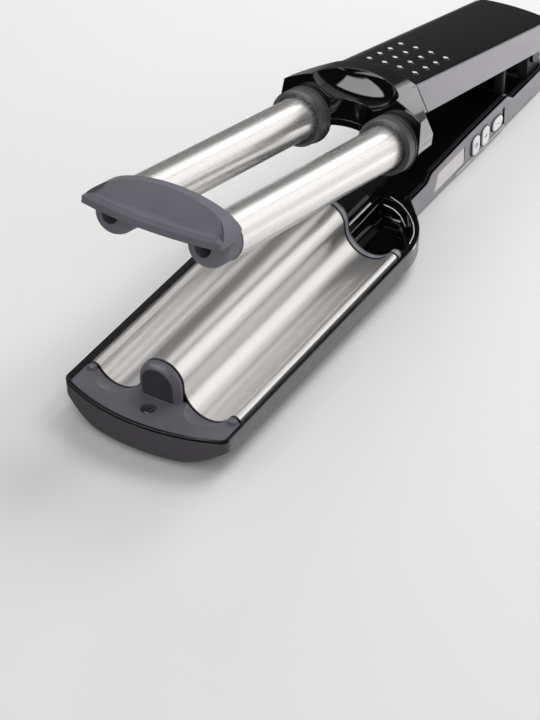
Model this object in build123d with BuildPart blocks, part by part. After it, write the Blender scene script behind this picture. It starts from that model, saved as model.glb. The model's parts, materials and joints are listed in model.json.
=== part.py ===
from build123d import *
import os
from math import cos, radians, sin, sqrt, tan

os.makedirs("parts", exist_ok=True)

# Hair waver, in millimetres. Two round barrels on a hinged upper arm close onto a wave plate in
# the lower arm. The lower arm lies on the table. +X runs from the nose to the cord end, +Z is up.
# The upper arm is drawn open, on its stop.

# --- Overall sizes -------------------------------------------------------------------------
overall_length = 380.0
jaw_width = 90.0
handle_width = 45.0
handle_length = 154.5
rim_height = 18.7

# --- Plan of the lower arm -----------------------------------------------------------------
nose_bow_radius = 104.0
nose_corner_radius = 6.0
shoulder_setback = 20.8
shoulder_radius = 42.0
shoulder_run = 25.5
neck_radius = 5.0
rear_corner_radius = 9.0

# --- Lower shell ---------------------------------------------------------------------------
wall = 2.2
floor_thickness = 2.6
side_draft = 2.0
bottom_edge_radius = 3.0
foot_inset = 9.0
foot_setback = 3.5
foot_corner_radius = 20.0
foot_spread = 45.0
foot_handle_room = 2.0
ledge_height = 9.2
ledge_width = 2.5
rim_width = 2.4
rim_thickness = 1.6
rim_step = 0.9
rim_step_width = 1.1

# --- Barrels and wave plate ----------------------------------------------------------------
barrel_diameter = 22.0
barrel_wall = 1.0
jaw_side_reach = 20.4
hair_gap = 2.34
plate_thickness = 1.4
nose_length = 26.6
valley_floor_height = 11.3
hump_rise = 0.5
lip_angle = 59.3
lip_radius = 3.0
heater_pad_width = 16.0
end_gap = 0.7

# --- Hinge ---------------------------------------------------------------------------------
open_angle = 14.17
hinge_setback = 20.0
root_gap = 8.2
hinge_pin_radius = 2.5
hinge_clearance = 0.05
knuckle_radius = 7.4
lobe_radius = 8.2
ear_side_gap = 1.8
ear_thickness = 5.6
knuckle_side_gap = 0.3
bracket_foot = 2.0
hinge_cap_radius = 4.6
hinge_cap_thickness = 1.2
hinge_cap_round = 0.6

# --- Fits ----------------------------------------------------------------------------------
joint_gap = 0.3
button_gap = 0.2
seat_gap = 0.2
cut_margin = 2.0

# --- Nose guard ----------------------------------------------------------------------------
nose_guard_height = 17.2
cap_length = 4.6
cap_edge_radius = 4.0
bowl_advance = 0.8
cap_wall = 1.8
lip_cap_length = 3.0
lip_cap_radius = 1.0
lip_cap_inset = 0.6
nose_screw_setback = 13.6
screw_radius = 1.5
screw_head_radius = 2.6
screw_head_height = 1.8
screw_slot_length = 3.2
screw_slot_width = 0.8
screw_slot_depth = 1.1
screw_head_round = 0.7
boss_radius = 4.4
nose_screw_length = 9.0
nose_recess_radius = 3.75
nose_recess_depth = 2.6

# --- Rear guard ----------------------------------------------------------------------------
band_length = 4.0
band_wall = 1.8
basin_floor_gap = 1.84
basin_side_gap = 1.0
basin_rear_setback = 6.5
basin_floor_radius = 4.0
rear_guard_height = 18.4
rear_guard_overrun = 0.5
guard_bridge_rise = 1.8
bridge_length = 22.0
bridge_width = 9.0
bridge_taper = 30.0
basin_shell = 1.6
guard_screw_length = 12.0
guard_screw_setback = 6.0
guard_screw_y = 4.0

# --- Lower handle --------------------------------------------------------------------------
side_low_height = 15.6
side_step_height = 19.6
side_peak_height = 20.4
side_rear_height = 19.9
side_tail_height = 14.9
side_step_reach = 23.3
side_peak_reach = 64.0
side_rear_reach = 105.0
side_tail_reach = 112.0
side_tail_drop = 4.7
side_step_run = 5.5
side_step_round = 4.0
side_rear_round = 4.0
cover_groove = 0.5
cover_rise = 0.8
cover_thickness = 2.0
cover_rear_gap = 13.0
cover_post_radius = 3.0
cover_post_inset = 8.5
cover_post_front_reach = 10.5
cover_post_rear_inset = 7.0
screw_sink = 1.9
base_screw_length = 9.0

# --- Controls in the left side wall ----------------------------------------------------------
window_reach = 42.5
window_length = 32.0
window_bottom = 4.7
window_top = 15.4
window_slant = 3.2
window_recess = 0.5
lcd_border = 0.4
window_clearance = 0.15
window_corner = 1.5
button_bottom = 4.2
button_top = 15.2
button_width = 8.2
button_corner = 3.0
button_first_reach = 69.7
button_pitch = 10.5
small_button_reach = 93.6
small_button_length = 11.4
small_button_height = 7.6
small_button_z = 9.8
button_proud = 0.8
button_travel = 0.5
button_flange = 0.9
button_flange_overlap = 0.8
button_stem_length = 1.8
button_stem_radius = 1.6
button_edge_radius = 0.5
switch_width = 5.0
switch_button_height = 0.66
board_wall_gap = 5.4
board_thickness = 1.6
board_length = 82.0
board_rest_pitch = 65.6
board_bottom = 3.2
board_top = 15.6
board_reach = 62.5
board_chip_length = 9.0
board_chip_width = 6.0
board_chip_height = 1.4
board_chip_z = 9.5
slot_reach = 101.5
slot_width = 2.2
slot_depth = 1.2

# --- Parts inside the lower arm ----------------------------------------------------------------
heater_end_margin = 22.3
heater_width = 14.0
heater_thickness = 3.2
clamp_overhang = 5.0
clamp_width = 9.0
clamp_thickness = 0.8
clamp_leg_inset = 11.0
clamp_leg_thickness = 2.4
probe_setback = 14.0
probe_radius = 3.5
probe_height = 3.0
fuse_length = 13.0
fuse_width = 5.0
fuse_round = 1.0
terminal_reach = 80.5
terminal_y = 6.0
terminal_length = 20.0
terminal_width = 10.0
terminal_height = 8.0

# --- Post between the arms -------------------------------------------------------------------
post_hinge_gap = 30.5
post_inset = 8.5
post_radius = 2.8
post_height = 31.0
post_round = 1.4

# --- Cord gland ------------------------------------------------------------------------------
gland_length = 8.0
gland_radius = 6.4
gland_neck_radius = 4.4
gland_chamfer = 1.6
gland_bore_radius = 3.1
gland_height = 8.4
gland_nut_wall = 1.2
gland_nut_thickness = 2.0
gland_clearance = 0.08

# --- Collars, plugs and tip cap --------------------------------------------------------------
collar_radius = 14.5
collar_length = 9.0
collar_recess_radius = 12.3
collar_recess_depth = 1.4
collar_groove_depth = 0.7
collar_groove_u = 6.2
collar_groove_width = 0.8
collar_edge = 1.0
barrel_socket = 14.0
seat_fit = 0.05
shoe_setback = 14.0
shoe_rear_setback = 8.0
bar_width = 12.0
bar_thickness = 2.4
shoe_split = 1.2
spigot_length = 5.0
insert_length = 6.0
plug_radius = 10.6
plug_length = 16.3
plug_nose_radius = 6.6
plug_hole_radius = 4.2
plug_hole_depth = 9.0
tip_setback = 5.8
wing_side_reach = 12.1
wing_lip_bottom = 4.5
wing_front_reach = 10.4
wing_bow = 4.6
wing_crest_height = 18.8
wing_crest_setback = 13.2
wing_rear_reach = 11.5
wing_corner_radius = 1.2
wing_arch_height = 13.4
wing_arch_reach = 12.4
wing_recess_gap = 0.8
scoop_floor_height = 7.9
scoop_overrun = 5.0
scoop_foot_setback = 11.7
scoop_edge_setback = 18.4
scoop_round_radius = 5.0
scoop_plan_length = 24.0
scoop_plan_reach = 13.4

# --- Head of the upper arm -------------------------------------------------------------------
head_side_reach = 14.9
head_crest_height = 26.2
head_crown_radius = 72.0
head_side_length = 17.0
head_seam_height = 1.7
head_side_bottom = -1.8
head_rear_low = 49.5
head_rear_high = 32.5
head_rear_bow = 5.0
head_lean_length = 30.0
sleeve_radius = 15.2
sleeve_taper = 0.5
sleeve_end_u = 25.0
head_side_step = 1.5
thumb_scoop_half_width = 24.3
thumb_scoop_radius = 14.1
thumb_scoop_n = 25.4
notch_depth = 5.7
notch_radius = 15.7
head_room_reach = 5.4
head_room_top = 8.0
head_room_front_u = 17.0
head_room_rear_u = 27.0
head_channel_half = 17.0
lead_hole_radius = 6.0
head_screw_u = 44.0
head_screw_y = 14.0
head_screw_sink = 2.0
head_screw_length = 5.0

# --- Upper handle ----------------------------------------------------------------------------
upper_front_top = 22.2
upper_rear_top = 18.2
upper_crown = 1.5
upper_bottom_front = 4.1
upper_bottom_rear = 3.4
trim_thickness = 1.2
trim_bevel = 1.1
facet_width = 2.6
facet_rise = 0.5
trim_top_rise = 0.6
upper_wall = 2.0
upper_cover_thickness = 1.8
trim_rear_top = 18.6
trim_rear_shoulder = 12.0
trim_rear_run = 4.0
upper_front_u = 27.0
upper_cover_front_u = 51.0
upper_cover_hinge_gap = 12.6
post_slot_gap = 0.5
post_slot_run = 2.9
post_slot_shift = 0.85
hinge_web_half = 6.0
pip_count = 4
pip_pitch_along = 11.1
pip_pitch_across = 8.7
pip_first_u = 47.5
pip_radius = 2.0
pip_height = 0.8

# --- Derived places --------------------------------------------------------------------------
nose_x = -overall_length / 2
gland_rear_x = overall_length / 2
shell_rear_x = gland_rear_x - gland_length
jaw_half = jaw_width / 2
handle_half = handle_width / 2
nose_corner_x = nose_x + nose_bow_radius - sqrt(nose_bow_radius**2 - jaw_half**2)
neck_x = shell_rear_x - handle_length
shoulder_x = neck_x - shoulder_run
plate_front_x = nose_x + nose_length
plate_rear_x = shoulder_x - shoulder_setback
plate_length = plate_rear_x - plate_front_x
shell_top = rim_height - rim_thickness

barrel_radius = barrel_diameter / 2
barrel_y = jaw_half - jaw_side_reach
barrel_pitch = 2 * barrel_y
valley_radius = barrel_radius + hair_gap
valley_z = valley_floor_height + valley_radius
hump_radius = barrel_y - valley_radius
hump_z = valley_z + hump_rise
hump_top = hump_z + hump_radius
lip_y = barrel_y + (valley_radius + lip_radius) * sin(radians(lip_angle))
lip_z = valley_z - (valley_radius + lip_radius) * cos(radians(lip_angle))
lip_cap_inner_y = barrel_y + valley_radius * sin(radians(lip_angle)) + lip_cap_inset

hinge_x = gland_rear_x - hinge_setback
hinge_z = valley_z
root_closed_x = plate_rear_x + root_gap
hinge_u = hinge_x - root_closed_x
barrel_length = root_closed_x - plate_front_x - tip_setback
arm_dir = Vector(cos(radians(open_angle)), 0, -sin(radians(open_angle)))
arm_up = Vector(sin(radians(open_angle)), 0, cos(radians(open_angle)))
arm_root = Vector(hinge_x, 0, hinge_z) - arm_dir * hinge_u

basin_front_x = plate_rear_x + end_gap + band_length
cover_half = handle_half - wall - cover_groove
inner_wall_y = handle_half - wall
window_x = neck_x + window_reach
button_first_x = neck_x + button_first_reach
button_xs = (button_first_x, button_first_x + button_pitch)
small_button_x = neck_x + small_button_reach
slot_x = neck_x + slot_reach
board_x = neck_x + board_reach
board_y = board_wall_gap - inner_wall_y
terminal_x = neck_x + terminal_reach
side_step_x = neck_x + side_step_reach
side_peak_x = neck_x + side_peak_reach
side_rear_x = neck_x + side_rear_reach
side_tail_x = neck_x + side_tail_reach
post_x = hinge_x - post_hinge_gap
post_y = post_inset - handle_half
ear_outer_y = inner_wall_y - ear_side_gap
ear_inner_y = ear_outer_y - ear_thickness
tip_u = -barrel_length
wing_recess_half_width = hump_radius + wing_recess_gap
cap_top_n = hump_top - hinge_z
cap_front_u = plate_front_x - end_gap - cap_length - root_closed_x
plug_front_u = tip_u - plug_length
cover_rear_x = hinge_x - cover_rear_gap
cover_post_y = handle_half - cover_post_inset
cover_post_xs = (neck_x + cover_post_front_reach, cover_rear_x - cover_post_rear_inset)
cover_post_places = [(x, y) for x in cover_post_xs for y in (-cover_post_y, cover_post_y)]
basin_floor_height = valley_z - sleeve_radius - basin_floor_gap
basin_reach = sleeve_radius + basin_side_gap
basin_inner_y = barrel_y - basin_reach
basin_wall = jaw_half - barrel_y - basin_reach
basin_rear_x = neck_x - basin_rear_setback
rear_guard_end_x = neck_x + rear_guard_overrun
guard_screw_places = [(rear_guard_end_x - guard_screw_setback, y) for y in (-guard_screw_y, guard_screw_y)]
floor_screw_places = cover_post_places + guard_screw_places
foot_room_growth = floor_thickness * tan(radians(foot_spread)) - wall / cos(radians(foot_spread))
SIDES = (("left", -1), ("right", 1))


def across(u):
    """Plane square to the upper arm, u behind the barrel roots; X is +Y and Y is the arm's up."""
    return Plane(origin=arm_root + arm_dir * u, x_dir=(0, 1, 0), z_dir=arm_dir)


def level(n):
    """Plane along the upper arm at height n over the barrel axes; X runs to the cord end."""
    return Plane(origin=arm_root + arm_up * n, x_dir=arm_dir, z_dir=arm_up)


def beside(y):
    """Upright plane along the upper arm at y; X runs to the cord end and Y is the arm's up."""
    return Plane(origin=arm_root + Vector(0, y, 0), x_dir=arm_dir, z_dir=(0, -1, 0))


def arm_point(u, y, n):
    """Point given in the upper arm's own directions."""
    return arm_root + arm_dir * u + Vector(0, y, 0) + arm_up * n


def barrel_axis(y):
    """Axis of the barrel at y."""
    return Axis(arm_point(0, y, 0), arm_dir)


def corners_at(sketch, x):
    """Corners of a sketch that lie at one x."""
    return sketch.vertices().filter_by(lambda v: abs(v.X - x) < 0.001)


def outline(inset):
    """Plan of the lower arm: bowed nose, straight jaw sides, sloping shoulders, narrow handle."""
    with BuildSketch() as plan:
        with BuildLine():
            ThreePointArc((nose_corner_x, -jaw_half), (nose_x, 0), (nose_corner_x, jaw_half))
            Polyline(
                (nose_corner_x, jaw_half),
                (shoulder_x, jaw_half),
                (neck_x, handle_half),
                (shell_rear_x, handle_half),
                (shell_rear_x, -handle_half),
                (neck_x, -handle_half),
                (shoulder_x, -jaw_half),
                (nose_corner_x, -jaw_half),
            )
        make_face()
        fillet(corners_at(plan, nose_corner_x), nose_corner_radius)
        fillet(corners_at(plan, shoulder_x), shoulder_radius)
        fillet(corners_at(plan, neck_x), neck_radius)
        fillet(corners_at(plan, shell_rear_x), rear_corner_radius)
        if inset > 0:
            offset(amount=-inset, kind=Kind.ARC)
    return plan.sketch


def foot_outline(growth):
    """Plan of the jaw's narrower foot on the table, grown by growth; it stays clear of the handle."""
    half = jaw_half - foot_inset
    bow_radius = nose_bow_radius - foot_setback
    corner_x = nose_x + nose_bow_radius - sqrt(bow_radius**2 - half**2)
    handle_side = handle_half + foot_handle_room
    with BuildSketch() as plan:
        with BuildLine():
            ThreePointArc((corner_x, -half), (nose_x + foot_setback, 0), (corner_x, half))
            Polyline(
                (corner_x, half),
                (shoulder_x - foot_inset, half),
                (neck_x, handle_side),
                (gland_rear_x, handle_side),
                (gland_rear_x, -handle_side),
                (neck_x, -handle_side),
                (shoulder_x - foot_inset, -half),
                (corner_x, -half),
            )
        make_face()
        fillet(corners_at(plan, corner_x), foot_corner_radius)
        fillet(corners_at(plan, shoulder_x - foot_inset), shoulder_radius - foot_inset)
        if growth < 0:
            offset(amount=growth, kind=Kind.ARC)
    return plan.sketch


def wave_region(inset):
    """Area under the wave from the ledge up; an inset draws the underside of the sheet."""
    contact = Vector(sin(radians(lip_angle)), -cos(radians(lip_angle)))
    valley = valley_radius + inset
    hump = hump_radius - inset
    lip = lip_radius - inset
    valley_end = Vector(barrel_y, valley_z) + contact * valley
    with BuildSketch() as region:
        with BuildLine() as edge:
            CenterArc((0, hump_z), hump, 0, 90)
            Line((hump, hump_z), (hump, valley_z))
            RadiusArc((hump, valley_z), (barrel_y, valley_z - valley), -valley)
            RadiusArc((barrel_y, valley_z - valley), valley_end, -valley)
            RadiusArc(valley_end, (lip_y, lip_z + lip), lip)
            RadiusArc((lip_y, lip_z + lip), (lip_y + lip, lip_z), lip)
            Polyline((lip_y + lip, lip_z), (lip_y + lip, ledge_height), (0, ledge_height), (0, hump_z + hump))
        make_face()
        mirror(about=Plane.YZ)
    return region.sketch


plan_outer = outline(0.0)
plan_rim_inner = outline(rim_width)
plan_rim_step = outline(rim_step_width)
plan_hollow = outline(wall)
plan_ledge = outline(rim_width + ledge_width)
plan_guard = outline(rim_width + seat_gap)
plan_guard_inner = outline(rim_width + seat_gap + wall)
plan_basin = outline(basin_wall)
wave_top = wave_region(0.0)
wave_under = wave_region(plate_thickness)
wave_inner_band = wave_region(band_wall)


def handle_profile(rise):
    """Side view of the lower handle's top edge, raised by rise, down to below the floor."""
    with BuildSketch(Plane.XZ) as profile:
        with BuildLine():
            Polyline(
                (neck_x - shoulder_run, -handle_half),
                (neck_x - shoulder_run, side_low_height + rise),
                (side_step_x - side_step_run, side_low_height + rise),
                (side_step_x, side_step_height + rise),
                (side_peak_x, side_peak_height + rise),
                (side_rear_x, side_rear_height + rise),
                (side_tail_x, side_rear_height - side_tail_drop + rise),
                (hinge_x - lobe_radius, side_tail_height + rise),
                (gland_rear_x, side_tail_height + rise),
                (gland_rear_x, -handle_half),
                close=True,
            )
        make_face()
        fillet(corners_at(profile, side_rear_x), side_rear_round)
        fillet(corners_at(profile, side_step_x), side_step_round)
    return profile.sketch


profile_side = handle_profile(0.0)
profile_cover_top = handle_profile(cover_rise)
profile_cover_middle = handle_profile(cover_rise - cover_thickness / 2)
profile_cover_under = handle_profile(cover_rise - cover_thickness)

with BuildSketch() as window_plan:
    with BuildLine():
        Polyline(
            (window_x - window_length / 2, window_bottom),
            (window_x + window_length / 2, window_bottom),
            (window_x + window_length / 2, window_top),
            (window_x - window_length / 2 + window_slant, window_top),
            close=True,
        )
    make_face()
    fillet(window_plan.vertices(), window_corner)
window_outline = window_plan.sketch


def inner_wave_profile():
    """Section of the wave plate: a sheet of even thickness with a flat pad under each valley."""
    with BuildSketch() as void:
        add(wave_under)
        with Locations((-barrel_y, ledge_height), (barrel_y, ledge_height)):
            Rectangle(heater_pad_width, 2 * (valley_floor_height - ledge_height), mode=Mode.SUBTRACT)
    with BuildSketch() as section:
        add(wave_top)
        add(void.sketch, mode=Mode.SUBTRACT)
    return section.sketch


wave_section = inner_wave_profile()

# --- Lower shell: tub of the jaw and the handle in one moulding --------------------------------
with BuildPart() as tub_hollow:
    with BuildSketch(Plane.XY.offset(floor_thickness)):
        add(plan_ledge)
    extrude(amount=ledge_height)
    with BuildSketch(Plane.XY.offset(floor_thickness)):
        add(plan_hollow)
        split(bisect_by=Plane.YZ.offset(basin_front_x), keep=Keep.TOP)
    extrude(amount=ledge_height)
    with BuildSketch(Plane.XY.offset(floor_thickness)):
        add(foot_outline(foot_room_growth))
    extrude(amount=ledge_height, taper=-foot_spread, mode=Mode.INTERSECT)

with BuildPart() as lower_shell:
    with BuildSketch(Plane.XY.offset(shell_top)):
        add(plan_outer)
    extrude(amount=-shell_top, taper=side_draft)
    with BuildSketch():
        add(foot_outline(0.0))
    extrude(amount=shell_top, taper=-foot_spread, mode=Mode.INTERSECT)
    fillet(lower_shell.faces().sort_by(Axis.Z)[0].edges(), bottom_edge_radius)
    with BuildSketch(Plane.XY.offset(shell_top)):
        add(plan_outer)
        split(bisect_by=Plane.YZ.offset(neck_x), keep=Keep.TOP)
    extrude(amount=side_peak_height)
    with BuildSketch(Plane.XZ):
        add(profile_side)
        with Locations((rear_guard_end_x - overall_length, shell_top / 2)):
            Rectangle(2 * overall_length, shell_top)
        with Locations((overall_length / 2 + hinge_x - lobe_radius, side_tail_height + handle_half)):
            Rectangle(overall_length, handle_width, mode=Mode.SUBTRACT)
    extrude(amount=jaw_width, both=True, mode=Mode.INTERSECT)
    with BuildSketch(Plane.XY.offset(ledge_height)):
        add(plan_hollow)
    extrude(amount=2 * rim_height, mode=Mode.SUBTRACT)
    add(tub_hollow.part, mode=Mode.SUBTRACT)
    # Rests for the control board
    with BuildSketch(Plane.XY.offset(floor_thickness)):
        with Locations((board_x, board_y + board_thickness / 2)):
            with GridLocations(board_rest_pitch, 1, 2, 1):
                Rectangle(2 * wall, 2 * wall)
    extrude(amount=board_bottom - floor_thickness)
    # Boss for the nose screw, with its thread hole
    with BuildSketch(Plane.XY.offset(floor_thickness)):
        with Locations((nose_x + nose_screw_setback, 0)):
            Circle(boss_radius)
    extrude(amount=ledge_height - floor_thickness)
    with BuildSketch(Plane.XY.offset(floor_thickness)):
        with Locations((nose_x + nose_screw_setback, 0)):
            Circle(screw_radius)
    extrude(amount=ledge_height - floor_thickness, mode=Mode.SUBTRACT)
    # Bosses for the two rear guard screws
    with BuildSketch(Plane.XY.offset(floor_thickness)):
        with Locations(*guard_screw_places):
            Circle(boss_radius)
            Circle(screw_radius, mode=Mode.SUBTRACT)
    extrude(amount=ledge_height - floor_thickness)
    # Countersunk holes in the floor for the screws of the cover and the rear guard
    with BuildSketch():
        with Locations(*floor_screw_places):
            Circle(screw_head_radius + seat_gap)
    extrude(amount=screw_sink, mode=Mode.SUBTRACT)
    with BuildSketch():
        with Locations(*floor_screw_places):
            Circle(screw_radius)
    extrude(amount=floor_thickness, mode=Mode.SUBTRACT)
    # Window and button openings through the left wall
    with BuildSketch(Plane.XZ.offset(handle_half + cut_margin)):
        add(window_outline)
        with Locations(*[(x, (button_top + button_bottom) / 2) for x in button_xs]):
            RectangleRounded(button_width, button_top - button_bottom, button_corner)
        with Locations((small_button_x, small_button_z)):
            SlotOverall(small_button_length, small_button_height)
    extrude(amount=-(wall + 2 * cut_margin), mode=Mode.SUBTRACT)
    with BuildSketch(Plane.XZ.offset(handle_half - slot_depth)):
        with Locations((slot_x, (button_top + button_bottom) / 2)):
            SlotOverall(button_top - button_bottom, slot_width, rotation=90)
    extrude(amount=cut_margin, mode=Mode.SUBTRACT)
    # Round hole for the cord gland in the rear wall
    with BuildSketch(Plane.YZ.offset(shell_rear_x - wall - cut_margin)):
        with Locations((0, gland_height)):
            Circle(gland_neck_radius + gland_clearance)
    extrude(amount=wall + 2 * cut_margin, mode=Mode.SUBTRACT)
lower_shell.part.label = "lower_shell"
export_step(lower_shell.part, "parts/lower_shell.step")

# --- Jaw rim: thin gloss border on the shell, stepped down inside --------------------------------
with BuildPart() as jaw_rim:
    with BuildSketch(Plane.XY.offset(shell_top)):
        add(plan_outer)
        add(plan_rim_inner, mode=Mode.SUBTRACT)
        split(bisect_by=Plane.YZ.offset(rear_guard_end_x), keep=Keep.BOTTOM)
    extrude(amount=rim_thickness)
    with BuildSketch(Plane.XY.offset(rim_height - rim_step)):
        add(plan_rim_step)
    extrude(amount=rim_thickness, mode=Mode.SUBTRACT)
jaw_rim.part.label = "jaw_rim"
export_step(jaw_rim.part, "parts/jaw_rim.step")

# --- Wave plate: one hump between two valleys ----------------------------------------------------
with BuildPart() as wave_plate:
    with BuildSketch(Plane.YZ.offset(plate_front_x)):
        add(wave_section)
    extrude(amount=plate_length)
wave_plate.part.label = "wave_plate"
export_step(wave_plate.part, "parts/wave_plate.step")

# --- Nose guard: flat end piece with the hump's end cap and two round bowls ----------------------
guard_front_x = plate_front_x - end_gap
cap_front_x = guard_front_x - cap_length
bowl_centre_x = plate_front_x - bowl_advance


def round_end_tool(centre_x, y, radius, straight):
    """Round-ended rod about a barrel axis in the closed pose; its dome points to the nose."""
    with BuildPart() as tool:
        with BuildSketch(Plane.XY.offset(valley_z)):
            with BuildLine():
                RadiusArc((centre_x - radius, y), (centre_x, y + radius), radius)
                Line((centre_x, y + radius), (centre_x + straight, y + radius))
                Line((centre_x + straight, y + radius), (centre_x + straight, y))
                Line((centre_x + straight, y), (centre_x - radius, y))
            make_face()
        revolve(axis=Axis((centre_x, y, valley_z), (1, 0, 0)))
    return tool.part


with BuildPart() as guard_lips:
    with BuildSketch(Plane.YZ.offset(guard_front_x)):
        add(wave_top)
        with Locations((0, valley_z)):
            Rectangle(2 * lip_cap_inner_y, 4 * valley_radius, mode=Mode.SUBTRACT)
    extrude(amount=-lip_cap_length)
    fillet(guard_lips.faces().group_by(Axis.X)[0].edges().filter_by(GeomType.CIRCLE), lip_cap_radius)

with BuildPart() as end_cap:
    with BuildSketch(Plane.YZ.offset(cap_front_x)):
        with Locations((0, hump_z)):
            Circle(hump_radius)
        with Locations((0, (hump_z + ledge_height) / 2)):
            Rectangle(2 * hump_radius, hump_z - ledge_height)
    extrude(amount=cap_length)
    fillet(end_cap.faces().sort_by(Axis.X)[0].edges().sort_by(Axis.Z)[1:], cap_edge_radius)

with BuildPart() as nose_guard:
    with BuildSketch(Plane.XY.offset(ledge_height)):
        add(plan_guard)
        split(bisect_by=Plane.YZ.offset(guard_front_x), keep=Keep.BOTTOM)
    extrude(amount=nose_guard_height - ledge_height)
    add(guard_lips.part)
    for y in (-barrel_y, barrel_y):
        add(round_end_tool(bowl_centre_x, y, valley_radius, 4 * bowl_advance), mode=Mode.SUBTRACT)
    add(end_cap.part)
    with BuildSketch(Plane.YZ.offset(cap_front_x + cap_wall)):
        with Locations((0, hump_z)):
            Circle(hump_radius - cap_wall)
        with Locations((0, (hump_z + ledge_height) / 2)):
            Rectangle(2 * (hump_radius - cap_wall), hump_z - ledge_height)
    extrude(amount=cap_length, mode=Mode.SUBTRACT)
    with BuildSketch(Plane.XY.offset(nose_guard_height)):
        with Locations((nose_x + nose_screw_setback, 0)):
            Circle(nose_recess_radius)
    extrude(amount=-nose_recess_depth, mode=Mode.SUBTRACT)
    with BuildSketch(Plane.XY.offset(ledge_height)):
        with Locations((nose_x + nose_screw_setback, 0)):
            Circle(screw_radius + seat_gap)
    extrude(amount=nose_guard_height - ledge_height, mode=Mode.SUBTRACT)
nose_guard.part.label = "nose_guard"
export_step(nose_guard.part, "parts/nose_guard.step")


def screw_upright(x, y, seat_z, length, down):
    """Pan-head screw with a cross slot; the head sits on seat_z and the shank runs away from it."""
    way = -1 if down else 1
    with BuildPart() as screw:
        with BuildSketch(Plane.XY.offset(seat_z)):
            with Locations((x, y)):
                Circle(screw_head_radius)
        extrude(amount=-way * screw_head_height)
        fillet(screw.edges().group_by(Axis.Z)[-1 if down else 0], screw_head_round)
        with BuildSketch(Plane.XY.offset(seat_z - way * screw_head_height)):
            with Locations((x, y)):
                Rectangle(screw_slot_length, screw_slot_width)
                Rectangle(screw_slot_width, screw_slot_length)
        extrude(amount=way * screw_slot_depth, mode=Mode.SUBTRACT)
        with BuildSketch(Plane.XY.offset(seat_z)):
            with Locations((x, y)):
                Circle(screw_radius)
        extrude(amount=way * length)
    return screw.part


# --- Nose screw ----------------------------------------------------------------------------------
nose_screw_seat = nose_guard_height - nose_recess_depth
nose_screw = screw_upright(nose_x + nose_screw_setback, 0, nose_screw_seat, nose_screw_length, True)
nose_screw.label = "nose_screw"
export_step(nose_screw, "parts/nose_screw.step")

# --- Plate end band: the grey step that follows the wave behind the plate --------------------------
with BuildPart() as plate_end_band:
    with BuildSketch(Plane.YZ.offset(plate_rear_x + end_gap)):
        add(wave_top)
    extrude(amount=band_length)
    with BuildSketch(Plane.YZ.offset(plate_rear_x + end_gap)):
        add(wave_inner_band)
    extrude(amount=band_length - plate_thickness, mode=Mode.SUBTRACT)
plate_end_band.part.label = "plate_end_band"
export_step(plate_end_band.part, "parts/plate_end_band.step")

# --- Rear guard: gloss block behind the plate with a basin for each collar -----------------------
with BuildPart() as basin:
    with BuildSketch(Plane.XY.offset(basin_floor_height)):
        add(plan_basin)
        split(bisect_by=Plane.YZ.offset(basin_front_x), keep=Keep.TOP)
        split(bisect_by=Plane.XZ.offset(-basin_inner_y), keep=Keep.BOTTOM)
        split(bisect_by=Plane.YZ.offset(basin_rear_x), keep=Keep.BOTTOM)
    extrude(amount=rim_height)
    basin_floor_edges = basin.faces().sort_by(Axis.Z)[0].edges()
    fillet(basin_floor_edges.sort_by(Axis.X)[1:], basin_floor_radius)

with BuildPart() as rear_guard:
    with BuildSketch(Plane.XY.offset(floor_thickness)):
        add(plan_guard)
        split(bisect_by=Plane.YZ.offset(basin_front_x), keep=Keep.TOP)
        split(bisect_by=Plane.YZ.offset(rear_guard_end_x), keep=Keep.BOTTOM)
    extrude(amount=rear_guard_height - floor_thickness)
    with BuildSketch(Plane.XY.offset(floor_thickness)):
        add(foot_outline(foot_room_growth - seat_gap / cos(radians(foot_spread))))
    extrude(amount=rear_guard_height, taper=-foot_spread, mode=Mode.INTERSECT)
    with BuildSketch(Plane.XY.offset(floor_thickness)):
        add(plan_guard_inner)
        split(bisect_by=Plane.YZ.offset(basin_front_x + wall), keep=Keep.TOP)
        split(bisect_by=Plane.YZ.offset(rear_guard_end_x - wall), keep=Keep.BOTTOM)
    extrude(amount=basin_floor_height - basin_shell - floor_thickness, mode=Mode.SUBTRACT)
    add(basin.part, mode=Mode.SUBTRACT)
    add(basin.part.mirror(Plane.XZ), mode=Mode.SUBTRACT)
    with BuildSketch(Plane.XY.offset(rear_guard_height)):
        with Locations(((basin_front_x + rear_guard_end_x) / 2, 0)):
            Rectangle(bridge_length, bridge_width)
    extrude(amount=guard_bridge_rise, taper=bridge_taper)
    with BuildSketch(Plane.XY.offset(floor_thickness)):
        with Locations(*guard_screw_places):
            Circle(screw_radius)
    extrude(amount=screw_sink + guard_screw_length - floor_thickness, mode=Mode.SUBTRACT)
    with BuildSketch(Plane.XY.offset(floor_thickness)):
        with Locations(*guard_screw_places):
            Circle(boss_radius + seat_gap)
    extrude(amount=ledge_height - floor_thickness, mode=Mode.SUBTRACT)
rear_guard.part.label = "rear_guard"
export_step(rear_guard.part, "parts/rear_guard.step")

# --- Rear guard screws ---------------------------------------------------------------------------
guard_screws = Compound(
    children=[screw_upright(x, y, screw_sink, guard_screw_length, False) for x, y in guard_screw_places]
)
guard_screws.label = "rear_guard_screws"
export_step(guard_screws, "parts/rear_guard_screws.step")

# --- Plate heaters, their spring clamps, the probe and the fuse ----------------------------------
heater_x = plate_front_x + plate_length / 2
heater_length = plate_length - 2 * heater_end_margin
clamp_length = heater_length + 2 * clamp_overhang
clamp_leg_pitch = clamp_length - 2 * clamp_leg_inset
with BuildPart() as plate_heaters:
    with BuildSketch(Plane.XY.offset(ledge_height)):
        with Locations((heater_x, -barrel_y), (heater_x, barrel_y)):
            Rectangle(heater_length, heater_width)
    extrude(amount=-heater_thickness)
plate_heaters.part.label = "plate_heaters"
export_step(plate_heaters.part, "parts/plate_heaters.step")

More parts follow.
